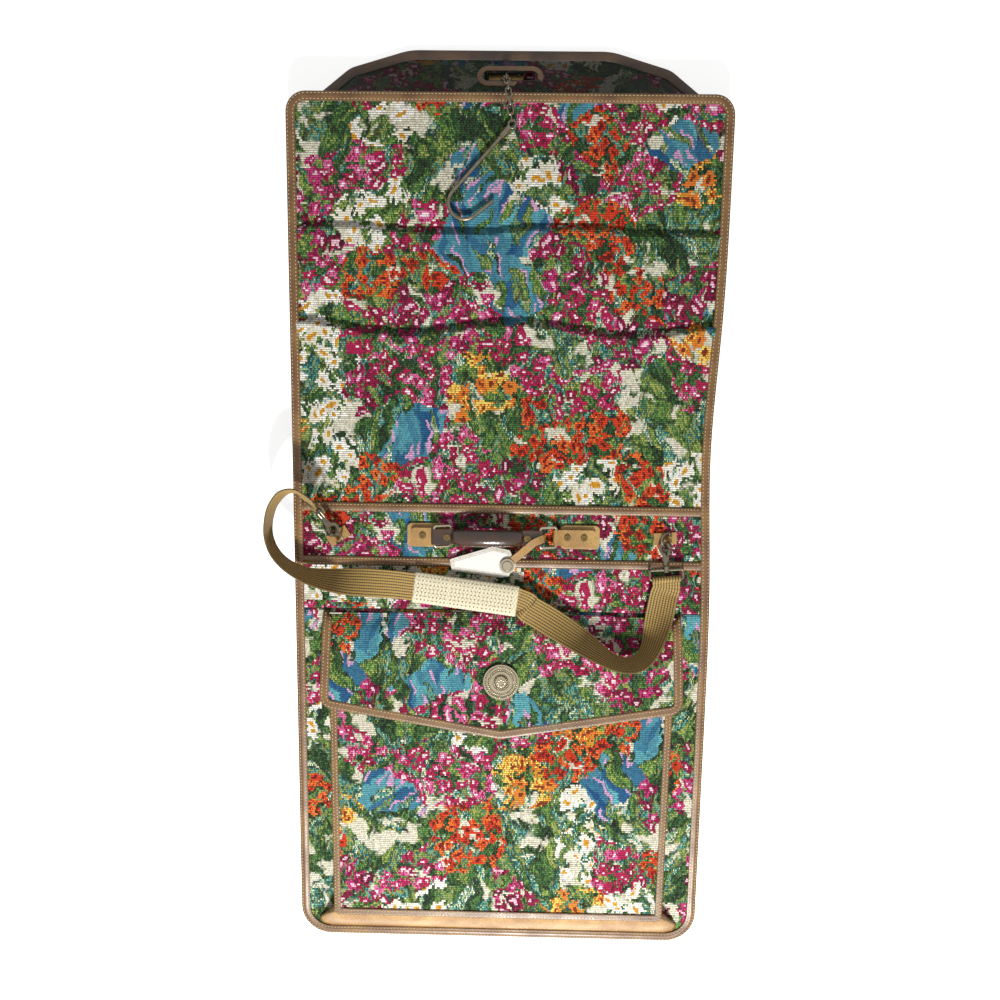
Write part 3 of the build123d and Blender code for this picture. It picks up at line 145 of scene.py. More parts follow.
# %% Woven tapestry
def woven_tapestry(name="cotton_jacquard", depth=1.0):
    material, tree = blank_material(name)
    shader = add_node(tree, "ShaderNodeBsdfPrincipled")
    shader.inputs["Roughness"].default_value = 0.88
    shader.inputs["Sheen Weight"].default_value = 0.12
    shader.inputs["Specular IOR Level"].default_value = 0.25
    place = add_node(tree, "ShaderNodeUVMap", uv_map="run")
    mm = add_node(tree, "ShaderNodeVectorMath", {0: place, 1: (1000, 1000, 0)}, operation="MULTIPLY")
    # a rib of weft is about 2.7 mm high, and its colour changes every 1.35 mm
    rib_cell = add_node(tree, "ShaderNodeVectorMath", {0: mm, 1: (1.35, 2.7, 1.0)}, operation="SNAP")
    speck = add_node(tree, "ShaderNodeTexWhiteNoise", {"Vector": rib_cell}, noise_dimensions="3D")
    drift = add_node(tree, "ShaderNodeTexNoise", {"Vector": rib_cell, "Scale": 0.03, "Detail": 3.0})
    drift = add_node(tree, "ShaderNodeVectorMath", {0: drift.outputs["Color"], 1: (0.5, 0.5, 0.5)},
                     operation="SUBTRACT")
    drift = add_node(tree, "ShaderNodeVectorMath", {0: drift, 1: (42, 42, 0)}, operation="MULTIPLY")
    bent = add_node(tree, "ShaderNodeVectorMath", {0: rib_cell, 1: drift}, operation="ADD")
    # beds of about 70 by 62 mm, each planted with one thing
    bed_place = add_node(tree, "ShaderNodeVectorMath", {0: bent, 1: (1 / 70, 1 / 62, 1)},
                         operation="MULTIPLY")
    bed = add_node(tree, "ShaderNodeTexVoronoi", {"Vector": bed_place, "Scale": 1.0},
                   voronoi_dimensions="2D")
    kind = add_node(tree, "ShaderNodeSeparateColor", {0: bed.outputs["Color"]})

    # leaves: long narrow cells that lean left or right from bed to bed
    lean = add_node(tree, "ShaderNodeMapRange", {0: kind.outputs[1], 3: -0.9, 4: 0.9})
    turned = add_node(tree, "ShaderNodeVectorRotate", {"Vector": bent, "Angle": lean},
                      rotation_type="Z_AXIS")
    leaf_place = add_node(tree, "ShaderNodeVectorMath", {0: turned, 1: (1 / 8.5, 1 / 36, 1)},
                          operation="MULTIPLY")
    leaf = add_node(tree, "ShaderNodeTexVoronoi", {"Vector": leaf_place, "Scale": 1.0},
                    voronoi_dimensions="2D")
    leaf_rand = add_node(tree, "ShaderNodeSeparateColor", {0: leaf.outputs["Color"]})
    leaf_mix = add_node(tree, "ShaderNodeMath", {0: leaf_rand, 1: 0.72, 2: add_node(
        tree, "ShaderNodeMath", {0: speck, 1: 0.28}, operation="MULTIPLY")}, operation="MULTIPLY_ADD")
    greens = add_node(tree, "ShaderNodeValToRGB", {0: leaf_mix})
    ramp = greens.color_ramp
    ramp.interpolation = "CONSTANT"
    leaf_tones = [(0.0, "#131d0e"), (0.13, "#2a4a26"), (0.3, "#476e37"), (0.44, "#6c8f43"),
                  (0.56, "#a1a655"), (0.66, "#24625c"), (0.76, "#5b9c90"), (0.86, "#b8c58b"),
                  (0.94, "#e9e2c6")]
    for at, code in leaf_tones[2:]:
        ramp.elements.new(at)
    for element, (at, code) in zip(ramp.elements, leaf_tones):
        element.position = at
        element.color = paint(code)
    edge = add_node(tree, "ShaderNodeTexVoronoi", {"Vector": leaf_place, "Scale": 1.0},
                    voronoi_dimensions="2D", feature="DISTANCE_TO_EDGE")
    outline_dark = add_node(tree, "ShaderNodeMapRange", {0: edge, 1: 0.02, 2: 0.13, 3: 0.8, 4: 0.0})
    colour = add_node(tree, "ShaderNodeMixRGB", {0: outline_dark, 1: greens, 2: paint("#0c1308")})

    # open ground between the plants, in undyed cream
    gap = add_node(tree, "ShaderNodeTexNoise", {"Vector": bent, "Scale": 0.021, "Detail": 4.0,
                                                "Roughness": 0.62})
    cream = add_node(tree, "ShaderNodeMapRange", {0: gap, 1: 0.565, 2: 0.59, 3: 0.0, 4: 0.88})
    colour = add_node(tree, "ShaderNodeMixRGB", {0: cream, 1: colour, 2: paint("#ece5cd")})

    # beds of blue, with lilac stalks
    blue_here = add_node(tree, "ShaderNodeMath", {0: kind, 1: 0.1}, operation="LESS_THAN")
    blue_tone = add_node(tree, "ShaderNodeMixRGB", {0: leaf_rand.outputs[1], 1: paint("#174f80"),
                                                    2: paint("#63aeb4")})
    stalk_place = add_node(tree, "ShaderNodeVectorMath", {0: turned, 1: (1 / 11, 1 / 60, 1)},
                           operation="MULTIPLY")
    stalk = add_node(tree, "ShaderNodeTexVoronoi", {"Vector": stalk_place, "Scale": 1.0},
                     voronoi_dimensions="2D")
    stalk_here = add_node(tree, "ShaderNodeMath", {0: stalk, 1: 0.2}, operation="LESS_THAN")
    blue_tone = add_node(tree, "ShaderNodeMixRGB", {0: stalk_here, 1: blue_tone, 2: paint("#d7a3c8")})
    blue_leaf = add_node(tree, "ShaderNodeMapRange", {0: leaf_rand.outputs[2], 1: 0.3, 2: 0.32})
    blue_fill = add_node(tree, "ShaderNodeMath", {0: blue_here, 1: blue_leaf}, operation="MULTIPLY")
    colour = add_node(tree, "ShaderNodeMixRGB", {0: blue_fill, 1: colour, 2: blue_tone})

    # three sorts of blossom; each has its size in mm, petals, share of beds, colours and heart
    sorts = [(20.0, 5, 0.1, 0.28, ("#4d0a22", "#8f1240", "#c23a78"), "#f3c6d2", 0.14),
             (17.0, 5, 0.28, 0.47, ("#7a1030", "#b01d4e", "#d9689b"), "#fbe3e6", 0.12),
             (15.5, 4, 0.47, 0.58, ("#8e1f10", "#d23c1b", "#e5702c"), "#5f150e", 0.13),
             (25.0, 8, 0.58, 0.68, ("#f2eddc", "#f8f5ea", "#e9e1c6"), "#d99a25", 0.15),
             (22.0, 7, 0.68, 0.77, ("#e3ad33", "#e37a2b", "#f2d261"), "#7d3414", 0.14)]
    for size, petals, low, high, tones, heart, heart_reach in sorts:
        at = add_node(tree, "ShaderNodeVectorMath", {0: bent, 1: (1 / size, 1 / size, 1)},
                      operation="MULTIPLY")
        bloom = add_node(tree, "ShaderNodeTexVoronoi", {"Vector": at, "Scale": 1.0, "Randomness": 0.9},
                         voronoi_dimensions="2D")
        away = add_node(tree, "ShaderNodeVectorMath", {0: at, 1: bloom.outputs["Position"]},
                        operation="SUBTRACT")
        parts = add_node(tree, "ShaderNodeSeparateXYZ", {0: away})
        angle = add_node(tree, "ShaderNodeMath", {0: parts.outputs[1], 1: parts.outputs[0]},
                         operation="ARCTAN2")
        wave = add_node(tree, "ShaderNodeMath", {0: angle, 1: float(petals)}, operation="MULTIPLY")
        wave = add_node(tree, "ShaderNodeMath", {0: wave}, operation="COSINE")
        reach = add_node(tree, "ShaderNodeMath", {0: wave, 1: 0.1, 2: 0.42}, operation="MULTIPLY_ADD")
        inside = add_node(tree, "ShaderNodeMath", {0: bloom, 1: reach}, operation="LESS_THAN")
        over = add_node(tree, "ShaderNodeMath", {0: kind, 1: low}, operation="GREATER_THAN")
        under = add_node(tree, "ShaderNodeMath", {0: kind, 1: high}, operation="LESS_THAN")
        bed_here = add_node(tree, "ShaderNodeMath", {0: over, 1: under}, operation="MULTIPLY")
        shown = add_node(tree, "ShaderNodeMath", {0: inside, 1: bed_here}, operation="MULTIPLY")
        each = add_node(tree, "ShaderNodeSeparateColor", {0: bloom.outputs["Color"]})
        spread = add_node(tree, "ShaderNodeMath", {0: each, 1: 0.6, 2: add_node(
            tree, "ShaderNodeMath", {0: speck, 1: 0.4}, operation="MULTIPLY")}, operation="MULTIPLY_ADD")
        tone = add_node(tree, "ShaderNodeValToRGB", {0: spread})
        tone.color_ramp.interpolation = "CONSTANT"
        tone.color_ramp.elements.new(0.68)
        for element, at_place, code in zip(tone.color_ramp.elements, (0.0, 0.3, 0.68), tones):
            element.position = at_place
            element.color = paint(code)
        heart_here = add_node(tree, "ShaderNodeMath", {0: bloom, 1: heart_reach}, operation="LESS_THAN")
        bloom_tone = add_node(tree, "ShaderNodeMixRGB", {0: heart_here, 1: tone, 2: paint(heart)})
        colour = add_node(tree, "ShaderNodeMixRGB", {0: shown, 1: colour, 2: bloom_tone})

    # painted shade darkens the furrow between ribs, and depth scales the whole cloth as painted shade; no
    # two stitches take the dye alike
    height = add_node(tree, "ShaderNodeSeparateXYZ", {0: mm})
    turn = add_node(tree, "ShaderNodeMath", {0: height.outputs[1], 1: pi / 2.7}, operation="MULTIPLY")
    crest = add_node(tree, "ShaderNodeMath", {0: turn}, operation="SINE")
    crest = add_node(tree, "ShaderNodeMath", {0: crest}, operation="ABSOLUTE")
    shade = add_node(tree, "ShaderNodeMapRange", {0: crest, 1: 0.0, 2: 0.75, 3: 0.38 * depth, 4: depth})
    uneven = add_node(tree, "ShaderNodeMapRange", {0: speck, 3: 0.66, 4: 1.22})
    shade = add_node(tree, "ShaderNodeMath", {0: shade, 1: uneven}, operation="MULTIPLY")
    colour = add_node(tree, "ShaderNodeVectorMath", {0: colour, 1: shade}, operation="MULTIPLY")
    bump = add_node(tree, "ShaderNodeBump", {"Height": crest, "Strength": 0.6, "Distance": 0.0007})
    tree.links.new(colour.outputs[0], shader.inputs["Base Color"])
    tree.links.new(bump.outputs[0], shader.inputs["Normal"])
    add_node(tree, "ShaderNodeOutputMaterial", {0: shader})
    return material


tapestry = woven_tapestry()
# the top gusset's copy, with painted shade: every colour at 0.22, as it faces away from the lamp
shaded_tapestry = woven_tapestry("cotton_jacquard_painted_shade", 0.22)
print("tapestry nodes", len(tapestry.node_tree.nodes))

# %% [markdown]
# ## Leather, webbing, cloth and metal
# The binding and the plates are finished cowhide: a soft gloss over fine grain, darker where hands and
# folds have worn it. The fittings are nickel-plated and have warmed and darkened with age.


# %% Leather and cloth
def grained_leather(name, light, dark, roughness, grain_mm, coat=0.0):
    material, tree = blank_material(name)
    shader = add_node(tree, "ShaderNodeBsdfPrincipled")
    shader.inputs["Coat Weight"].default_value = coat
    shader.inputs["Coat Roughness"].default_value = 0.25
    place = add_node(tree, "ShaderNodeTexCoord")
    patch = add_node(tree, "ShaderNodeTexNoise", {"Vector": place.outputs["Object"], "Scale": 28.0,
                                                  "Detail": 5.0})
    patch = add_node(tree, "ShaderNodeMapRange", {0: patch, 1: 0.34, 2: 0.66, 3: 0.0, 4: 1.0})
    colour = add_node(tree, "ShaderNodeMixRGB", {0: patch, 1: paint(dark), 2: paint(light)})
    grain = add_node(tree, "ShaderNodeTexVoronoi", {"Vector": place.outputs["Object"],
                                                    "Scale": 1000 / grain_mm}, feature="F1")
    crease = add_node(tree, "ShaderNodeMapRange", {0: grain, 1: 0.2, 2: 0.8, 3: 1.0, 4: 0.72})
    colour = add_node(tree, "ShaderNodeVectorMath", {0: colour, 1: crease}, operation="MULTIPLY")
    gloss = add_node(tree, "ShaderNodeMapRange", {0: patch, 3: roughness + 0.1, 4: roughness - 0.05})
    bump = add_node(tree, "ShaderNodeBump", {"Height": grain, "Strength": 0.25, "Distance": 0.0004})
    for socket, source in (("Base Color", colour), ("Roughness", gloss), ("Normal", bump)):
        tree.links.new(source.outputs[0], shader.inputs[socket])
    add_node(tree, "ShaderNodeOutputMaterial", {0: shader})
    return material


def plain_woven(name, light, dark, thread_mm, roughness=0.85):
    material, tree = blank_material(name)
    shader = add_node(tree, "ShaderNodeBsdfPrincipled")
    shader.inputs["Sheen Weight"].default_value = 0.1
    shader.inputs["Roughness"].default_value = roughness
    place = add_node(tree, "ShaderNodeUVMap", uv_map="run")
    mm = add_node(tree, "ShaderNodeVectorMath", {0: place, 1: (1000, 1000, 0)}, operation="MULTIPLY")
    axes = add_node(tree, "ShaderNodeSeparateXYZ", {0: mm})
    along = add_node(tree, "ShaderNodeMath", {0: axes, 1: pi / thread_mm}, operation="MULTIPLY")
    across = add_node(tree, "ShaderNodeMath", {0: axes.outputs[1], 1: pi / thread_mm}, operation="MULTIPLY")
    along = add_node(tree, "ShaderNodeMath", {0: along}, operation="SINE")
    across = add_node(tree, "ShaderNodeMath", {0: across}, operation="SINE")
    weave = add_node(tree, "ShaderNodeMath", {0: along, 1: across}, operation="MULTIPLY")
    tone = add_node(tree, "ShaderNodeMapRange", {0: weave, 1: -0.6, 2: 0.6})
    colour = add_node(tree, "ShaderNodeMixRGB", {0: tone, 1: paint(dark), 2: paint(light)})
    bump = add_node(tree, "ShaderNodeBump", {"Height": weave, "Strength": 0.4, "Distance": 0.0004})
    tree.links.new(colour.outputs[0], shader.inputs["Base Color"])
    tree.links.new(bump.outputs[0], shader.inputs["Normal"])
    add_node(tree, "ShaderNodeOutputMaterial", {0: shader})
    return material


# drum-dyed cowhide, nearly matt; its darker colours are painted shade, because it lies on the floor side in
# deep shade
rear_hide = grained_leather("cowhide_binding_painted_shade", "#5a4129", "#33231a", 0.45, 2.4, 0.05)
# waxed cowhide: a soft gloss, worn paler where it is rubbed
binding_hide = grained_leather("waxed_cowhide_binding", "#8f6a3c", "#6a4627", 0.4, 2.4, 0.1)
# vegetable-tanned bridle leather, smooth and warm
plate_hide = grained_leather("tan_bridle_leather", "#c79e5a", "#a37a42", 0.38, 1.8, 0.2)
# rolled and burnished by the hand, so it is the glossiest of the dark pieces
grip_hide = grained_leather("rolled_dark_leather", "#50301a", "#2d1a0e", 0.2, 2.0, 0.35)
# undyed hide, almost white
pale_hide = grained_leather("undyed_tag_leather", "#f2ede2", "#dfd6c4", 0.45, 1.8, 0.1)
# glazed hide: a clear top coat gives it long highlights
foot_hide = grained_leather("glossy_tan_leather", "#cda263", "#a97c46", 0.22, 2.6, 0.6)
# cotton twill, drawn a little coarser than real threads so that it shows
cream_cloth = plain_woven("cream_cotton_twill", "#efe7cd", "#cfc39d", 2.2)
# close-woven polyester tape, dark and matt
zip_cloth = plain_woven("dark_zip_tape", "#38312a", "#1d1915", 1.2)
# waxed linen thread, pale against the leather
thread_cloth, tree = blank_material("waxed_linen_thread")
thread_shader = add_node(tree, "ShaderNodeBsdfPrincipled",
                         {"Roughness": 0.6, "Base Color": paint("#dcc794")})
add_node(tree, "ShaderNodeOutputMaterial", {0: thread_shader})
print("leathers and cloths made")


# %% Metals
def aged_plate(name, light, dark, roughness):
    material, tree = blank_material(name)
    shader = add_node(tree, "ShaderNodeBsdfPrincipled")
    shader.inputs["Metallic"].default_value = 1.0
    place = add_node(tree, "ShaderNodeTexCoord")
    patch = add_node(tree, "ShaderNodeTexNoise", {"Vector": place.outputs["Object"], "Scale": 160.0,
                                                  "Detail": 4.0})
    colour = add_node(tree, "ShaderNodeMixRGB", {0: patch, 1: paint(dark), 2: paint(light)})
    gloss = add_node(tree, "ShaderNodeMapRange", {0: patch, 3: roughness + 0.12, 4: roughness - 0.06})
    tree.links.new(colour.outputs[0], shader.inputs["Base Color"])
    tree.links.new(gloss.outputs[0], shader.inputs["Roughness"])
    add_node(tree, "ShaderNodeOutputMaterial", {0: shader})
    return material


# nickel plate on pressed steel, still bright where it is handled
bright_nickel = aged_plate("nickel_plated_steel", "#c4bba6", "#8b816b", 0.24)
# nickel plate; its darker colours are painted shade, so the disc reads as a recess behind the bright beads
disc_nickel = aged_plate("nickel_disc_painted_shade", "#a79d86", "#6f6550", 0.34)
# drawn wire whose plate has gone dull
worn_nickel = aged_plate("worn_nickel_wire", "#8d8573", "#4e4638", 0.32)
# antique brass finish: lacquered, brown and soft
dark_plate = aged_plate("antique_brass_finish", "#8a734a", "#4a3b26", 0.34)
# calendered clear film over a plain white slip
film, tree = blank_material("clear_vinyl_film")
film_shader = add_node(tree, "ShaderNodeBsdfPrincipled",
                       {"Roughness": 0.12, "Base Color": paint("#f3f1ea")})
film_shader.inputs["Coat Weight"].default_value = 0.6
add_node(tree, "ShaderNodeOutputMaterial", {0: film_shader})

finishes = {
    disc_nickel: ["medallion"],
    bright_nickel: ["handle_ring_left", "handle_ring_right", "zip_stops", "zip_slider", "zip_pull",
                    "snap_stud", "snap_socket", "tag_snap"],
    worn_nickel: ["d_ring_left", "d_ring_right", "snap_hook_left", "snap_hook_right", "snap_gate_left",
                  "snap_gate_right", "strap_eye_left", "strap_eye_right", "hanger_hook", "hanger_swivel",
                  "hanger_chain"],
    dark_plate: ["base_rivets", "grip_rivets", "hanger_bracket"],
    plate_hide: ["handle_plate_left", "handle_plate_right", "handle_loop_left", "handle_loop_right",
                 "tag_strap", "chape_left", "chape_right"],
    grip_hide: ["handle_grip"],
    pale_hide: ["tag_body"],
    film: ["tag_window"],
}
for finish, names in finishes.items():
    for node_name in names:
        mesh = nodes[node_name].data
        mesh.materials.clear()
        mesh.materials.append(finish)
print("finished CAD nodes", sum(len(names) for names in finishes.values()))

# %% [markdown]
# ## Outlines and laid grids
# A soft piece starts as a plain grid. Each vertex is then laid where the cloth goes, and a UV map called
# run keeps the distance along and across it, so a weave follows the cloth round a bend.

# %% Sizes in mm
half_width, half_length = 279.5, 570.0
face_level = 42.0
panel_edge = 568.1  # where a panel ends, inside its binding
upper_seam, lower_seam, pocket_seam = 48.0, -25.0, -91.0
point_gap = 14.0  # between points along an outline
print("face", 2 * half_width, "by", 2 * half_length, "mm")

# %% Outlines, corners anticlockwise as (x, y, radius)
face_corners = [(-half_width, half_length, 25), (-half_width, -half_length, 42),
                (half_width, -half_length, 42), (half_width, half_length, 25)]
back_corners = [(half_width, half_length, 25), (254.5, half_length, 0), (204, 609, 36), (128, 631, 90),
                (-128, 631, 90), (-204, 609, 36), (-254.5, half_length, 0), (-half_width, half_length, 25),
                (-half_width, -half_length, 42), (half_width, -half_length, 42)]
pocket_fall, pocket_reach = 22.0, 394.0
pocket_tilt = atan2(pocket_fall, pocket_reach)
pocket_rise = hypot(pocket_fall, pocket_reach)
pocket_corners = [(-234, pocket_rise, 8), (-227, 0, 8), (227, 0, 8), (234, pocket_rise, 8)]
flap_corners = [(-240, -91, 0), (-246, -224, 18), (0, -264, 40), (246, -224, 18), (240, -91, 0)]
ARC = 8  # steps round each rounded corner


def outline(corners, inset=0.0, step=point_gap):
    """Points round an outline, moved inwards by inset; the same number for every inset."""
    count = len(corners)
    spots = [Vector(c[:2]) for c in corners]
    ways = [(spots[(i + 1) % count] - spots[i]).normalized() for i in range(count)]
    inner = [Vector((-w.y, w.x)) for w in ways]
    arcs = []
    for i in range(count):
        n1, n2 = inner[i - 1], inner[i]
        tip = spots[i] + (n1 + n2) * (inset / (1 + n1.dot(n2)))
        radius = max(corners[i][2] - inset, 0.01)
        turn = atan2(ways[i - 1].cross(ways[i]), ways[i - 1].dot(ways[i]))
        start = tip - ways[i - 1] * (radius * tan(abs(turn) / 2))
        middle = start + n1 * radius * (1 if turn > 0 else -1)
        arc = []
        for k in range(ARC + 1):
            spin = Matrix.Rotation(turn * k / ARC, 2)
            arc.append(middle + spin @ (start - middle))
        arcs.append(arc)
    points = []
    for i in range(count):
        points += arcs[i]
        pieces = max(1, round((spots[(i + 1) % count] - spots[i]).length / step))
        a, b = arcs[i][-1], arcs[(i + 1) % count][0]
        points += [a.lerp(b, k / pieces) for k in range(1, pieces)]
    return points


def span(rim, y):
    """Where a level line crosses a rim: its least and greatest x."""
    crossings = []
    for a, b in zip(rim, rim[1:] + rim[:1]):
        if (a.y - y) * (b.y - y) <= 0 and a.y != b.y:
            crossings.append(a.x + (b.x - a.x) * (y - a.y) / (b.y - a.y))
    return (min(crossings), max(crossings)) if crossings else (0.0, 0.0)


def ease(value):
    value = min(max(value, 0.0), 1.0)
    return value * value * (3 - 2 * value)


def waist(point):
    """The bag is slack at its right edge, which draws in above the handle."""
    near_right = ease((point.x - 195) / 84)
    pull = 9.5 * exp(-((point.y - 125) / 150) ** 2) * near_right * (0.55 + 0.45 * ease(point.z / 42))
    return Vector((point.x - pull, point.y, point.z))


# %% Laying a grid and finishing a piece
def laid_grid(columns, rows, place, run=None, weld=0.02):
    """A grid laid by place(i, j), in mm; run(i, j) gives its distances for the UV map."""
    shape = bmesh.new()
    bmesh.ops.create_grid(shape, x_segments=columns, y_segments=rows, size=1.0)
    spots = {v: (round((v.co.x + 1) / 2 * columns), round((v.co.y + 1) / 2 * rows)) for v in shape.verts}
    layer = shape.loops.layers.uv.get("run") or shape.loops.layers.uv.new("run")
    for face in shape.faces:
        for loop in face.loops:
            i, j = spots[loop.vert]
            u, v = run(i, j) if run else place(i, j)[:2]
            loop[layer].uv = (u * MM, v * MM)
    for vert, (i, j) in spots.items():
        vert.co = waist(Vector(place(i, j)))
    bmesh.ops.remove_doubles(shape, verts=shape.verts[:], dist=weld)
    return shape


def finish_piece(name, shape, material, stands_for=(), thick=0.0, body="bag", offset=-1.0,
                 face_up=True, closed=False):
    """Scales a shape to metres, links it, gives it its thickness and tells the frame about it."""
    if closed:
        bmesh.ops.recalc_face_normals(shape, faces=shape.faces[:])
    elif face_up and sum(f.normal.z * f.calc_area() for f in shape.faces) < 0:
        bmesh.ops.reverse_faces(shape, faces=shape.faces[:])
    bmesh.ops.scale(shape, vec=(MM, MM, MM), verts=shape.verts[:])
    mesh = bpy.data.meshes.new(name)
    shape.to_mesh(mesh)
    shape.free()
    piece = bpy.data.objects.new(name, mesh)
    scene.collection.objects.link(piece)
    mesh.materials.append(material)
    for polygon in mesh.polygons:
        polygon.use_smooth = True
    if thick:
        wall = piece.modifiers.new("cloth", "SOLIDIFY")
        wall.thickness = thick * MM
        wall.offset = offset
    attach(piece, body)
    if stands_for:
        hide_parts(*stands_for)
    print(name, "faces", len(mesh.polygons))
    return piece


def lengths(points):
    """Distance along a run of points."""
    total, out = 0.0, [0.0]
    for a, b in zip(points, points[1:]):
        total += (b - a).length
        out.append(total)
    return out


# %% [markdown]
# ## The tapestry face
# Four panels are sewn edge to edge. The bag is stored folded, so the upper panel keeps two sharp folds:
# the cloth stands up on the side towards the foot and drops just past it. Between the bindings it is slack.

# %% Front panels
folds = [(404.0, 8.0, 4.0, 0.0), (281.0, 10.5, 8.0, 1.3)]


def face_lift(x, y, low, high):
    """Height in mm of the face's upper side."""
    rim = ease(min(half_width - abs(x), half_length - abs(y)) / 60)
    seams = ease(min(y - low, high - y) / 35)
    slack = noise.noise(Vector((x * 0.009, y * 0.011, 3.0))) * 1.6 \
        + noise.noise(Vector((x * 0.03, y * 0.026, 8))) * 0.7
    z = face_level + rim * seams * (slack - 1.0)
    near_side = ease((half_width - abs(x)) / 14)
    for fold_y, depth, sway, phase in folds:
        d = y - (fold_y + sway * sin(x / 46 + phase) + 2.0 * noise.noise(Vector((x * 0.03, fold_y, 0))))
        if d > 0:
            z -= depth * exp(-d / 18) * (1 - exp(-d / 2.5)) * near_side
        else:
            z += 0.35 * depth * exp(d / 22) * near_side
    return z


def front_panel(name, low, high, shift, rows):
    rim = outline(face_corners, 1.8)
    columns = 90

    def place(i, j):
        y = low + (high - low) * j / rows
        y = min(max(y, -panel_edge), panel_edge)
        left, right = span(rim, y)
        x = left + (right - left) * i / columns
        return x, y, face_lift(x, y, low, high)

    def run(i, j):
        x, y, z = place(i, j)
        return x + shift[0], y + shift[1]

    piece = finish_piece(name + "_cloth", laid_grid(columns, rows, place, run), tapestry,
                         [name], 2.4)
    return piece


front_panel("front_upper_panel", upper_seam, panel_edge, (0, 0), 170)
front_panel("handle_panel", lower_seam, upper_seam, (130, 310), 20)
front_panel("front_centre_panel", pocket_seam, lower_seam, (-220, 150), 18)
front_panel("front_lower_panel", -panel_edge, pocket_seam, (90, -160), 90)


# %% [markdown]
# ## Leather binding
# A binding is one strip of leather folded over the raw edges and sewn through twice, so the thread pulls
# two shallow grooves and the leather stands up between them. Its section is carried round the outline.

# %% Binding helper
def binding(name, corners, section, place_at, stands_for, first=0, last=None, material=binding_hide):
    """section is (inset, level) pairs round a closed profile; place_at turns them into points."""
    rings = [outline(corners, inset)[first:last] for inset, level in section]
    is_loop = last is None and first == 0
    count = len(rings[0])
    columns = count if is_loop else count - 1
    rows = len(section)
    middle = rings[len(section) // 3]
    run_along = lengths(middle + middle[:1])

    def place(i, j):
        ring = rings[j % rows]
        return place_at(ring[i % count], section[j % rows][1])

    def run(i, j):
        return run_along[i], j * 1.6

    shape = laid_grid(columns, rows, place, run)
    if not is_loop:
        bmesh.ops.holes_fill(shape, edges=[e for e in shape.edges if e.is_boundary], sides=40)
    return finish_piece(name, shape, material, stands_for, closed=True)


def flat_place(spot, level):
    return spot.x, spot.y, level


face_section = [(12.0, 42.1), (12.0, 43.2), (11.2, 43.7), (9.7, 43.2), (8.4, 43.9), (6.0, 44.2), (3.6, 43.9),
                (2.4, 43.2), (1.0, 43.4), (0.1, 42.4), (0.0, 39.8), (0.1, 36.8), (1.0, 35.8), (6.0, 35.5),
                (12.0, 35.6), (12.0, 37.2), (1.7, 37.2), (1.7, 42.1)]
binding("face_binding", face_corners, face_section, flat_place, ["front_binding"])
back_section = [(12.0, 6.5), (12.0, 7.4), (11.2, 8.0), (6.0, 8.2), (1.0, 7.8), (0.1, 6.8), (0.0, 4.0),
                (0.1, 1.0), (1.0, 0.2), (6.0, 0.0), (12.0, 0.1), (12.0, 1.6), (1.7, 1.6), (1.7, 6.5)]
binding("rear_binding", back_corners, back_section, flat_place, ["back_binding"], material=rear_hide)


# %% Cross strips
def cross_strip(name, y_middle):
    profile = [(-6.0, 42.0), (-5.8, 43.3), (-3.4, 43.1), (-1.6, 43.9), (1.6, 43.9), (3.4, 43.1), (5.8, 43.3),
               (6.0, 42.0)]

    def place(i, j):
        return -268.5 + 537.0 * i / 90, y_middle + profile[j][0], profile[j][1]

    def run(i, j):
        return 6.0 * i, j * 1.8

    return finish_piece(name + "_leather", laid_grid(90, 7, place, run), binding_hide,
                        [name])


cross_strip("upper_strip", upper_seam)
cross_strip("lower_strip", lower_seam)

# %% [markdown]
# ## Gussets and back
# The side gussets fold in like a bellows and go flat towards the corners. At the hook end the gusset
# slopes out to the wider back, with a bound slit that the chain comes out of.

# %% Side and foot gusset
face_rim = outline(face_corners, 0.0)
bellows_rows = 14
inset_rings = {}


def bellows_inset(index, t):
    spot = face_rim[index]
    side = ease((abs(spot.x) - 270) / 9) * ease((545 - spot.y) / 95) * ease((spot.y + 528) / 95)
    fold = 13.0 + 22.0 * side + 1.6 * noise.noise(Vector((index * 0.37, 0, 0)))
    return 13.0 + (fold - 13.0) * sin(pi * t)


def bellows_place(i, j):
    if j == 0 or j == bellows_rows:
        inset, z = 1.9, (38.4 if j == 0 else 5.2)
    else:
        t = (j - 1) / (bellows_rows - 2)
        inset, z = bellows_inset(i, t), 38.3 + (5.3 - 38.3) * t
    key = round(inset, 1)
    if key not in inset_rings:
        inset_rings[key] = outline(face_corners, key)
    spot = inset_rings[key][i]
    return spot.x, spot.y, z


rim_run = lengths(face_rim)
last_spot = max(k for k, p in enumerate(face_rim) if p.x > 254 and p.y > 540)
bellows = laid_grid(last_spot, bellows_rows, bellows_place, lambda i, j: (rim_run[i], 900 + 4.5 * j))
bellows_piece = finish_piece("bellows_gusset", bellows, tapestry,
                             ["side_gusset_left", "side_gusset_right", "bottom_gusset"], 2.2, offset=0.0,
                             face_up=False)

# %% Top gusset, with its slit
tip_columns = 84
tip_rows = 22


def back_path(u, inset):
    rim = outline(back_corners, inset)
    chain = rim[ARC + 1:]
    chain = [p for p in chain if p.y > 569 - inset * 1.02 and abs(p.x) < 256]
    total = lengths(chain)
    want = u * total[-1]
    for k in range(len(chain) - 1):
        if total[k + 1] >= want:
            part = (want - total[k]) / max(total[k + 1] - total[k], 1e-6)
            return chain[k].lerp(chain[k + 1], part)
    return chain[-1]


near_edge = [back_path(i / tip_columns, 13.5) for i in range(tip_columns + 1)]
far_edge = [back_path(i / tip_columns, 1.9) for i in range(tip_columns + 1)]


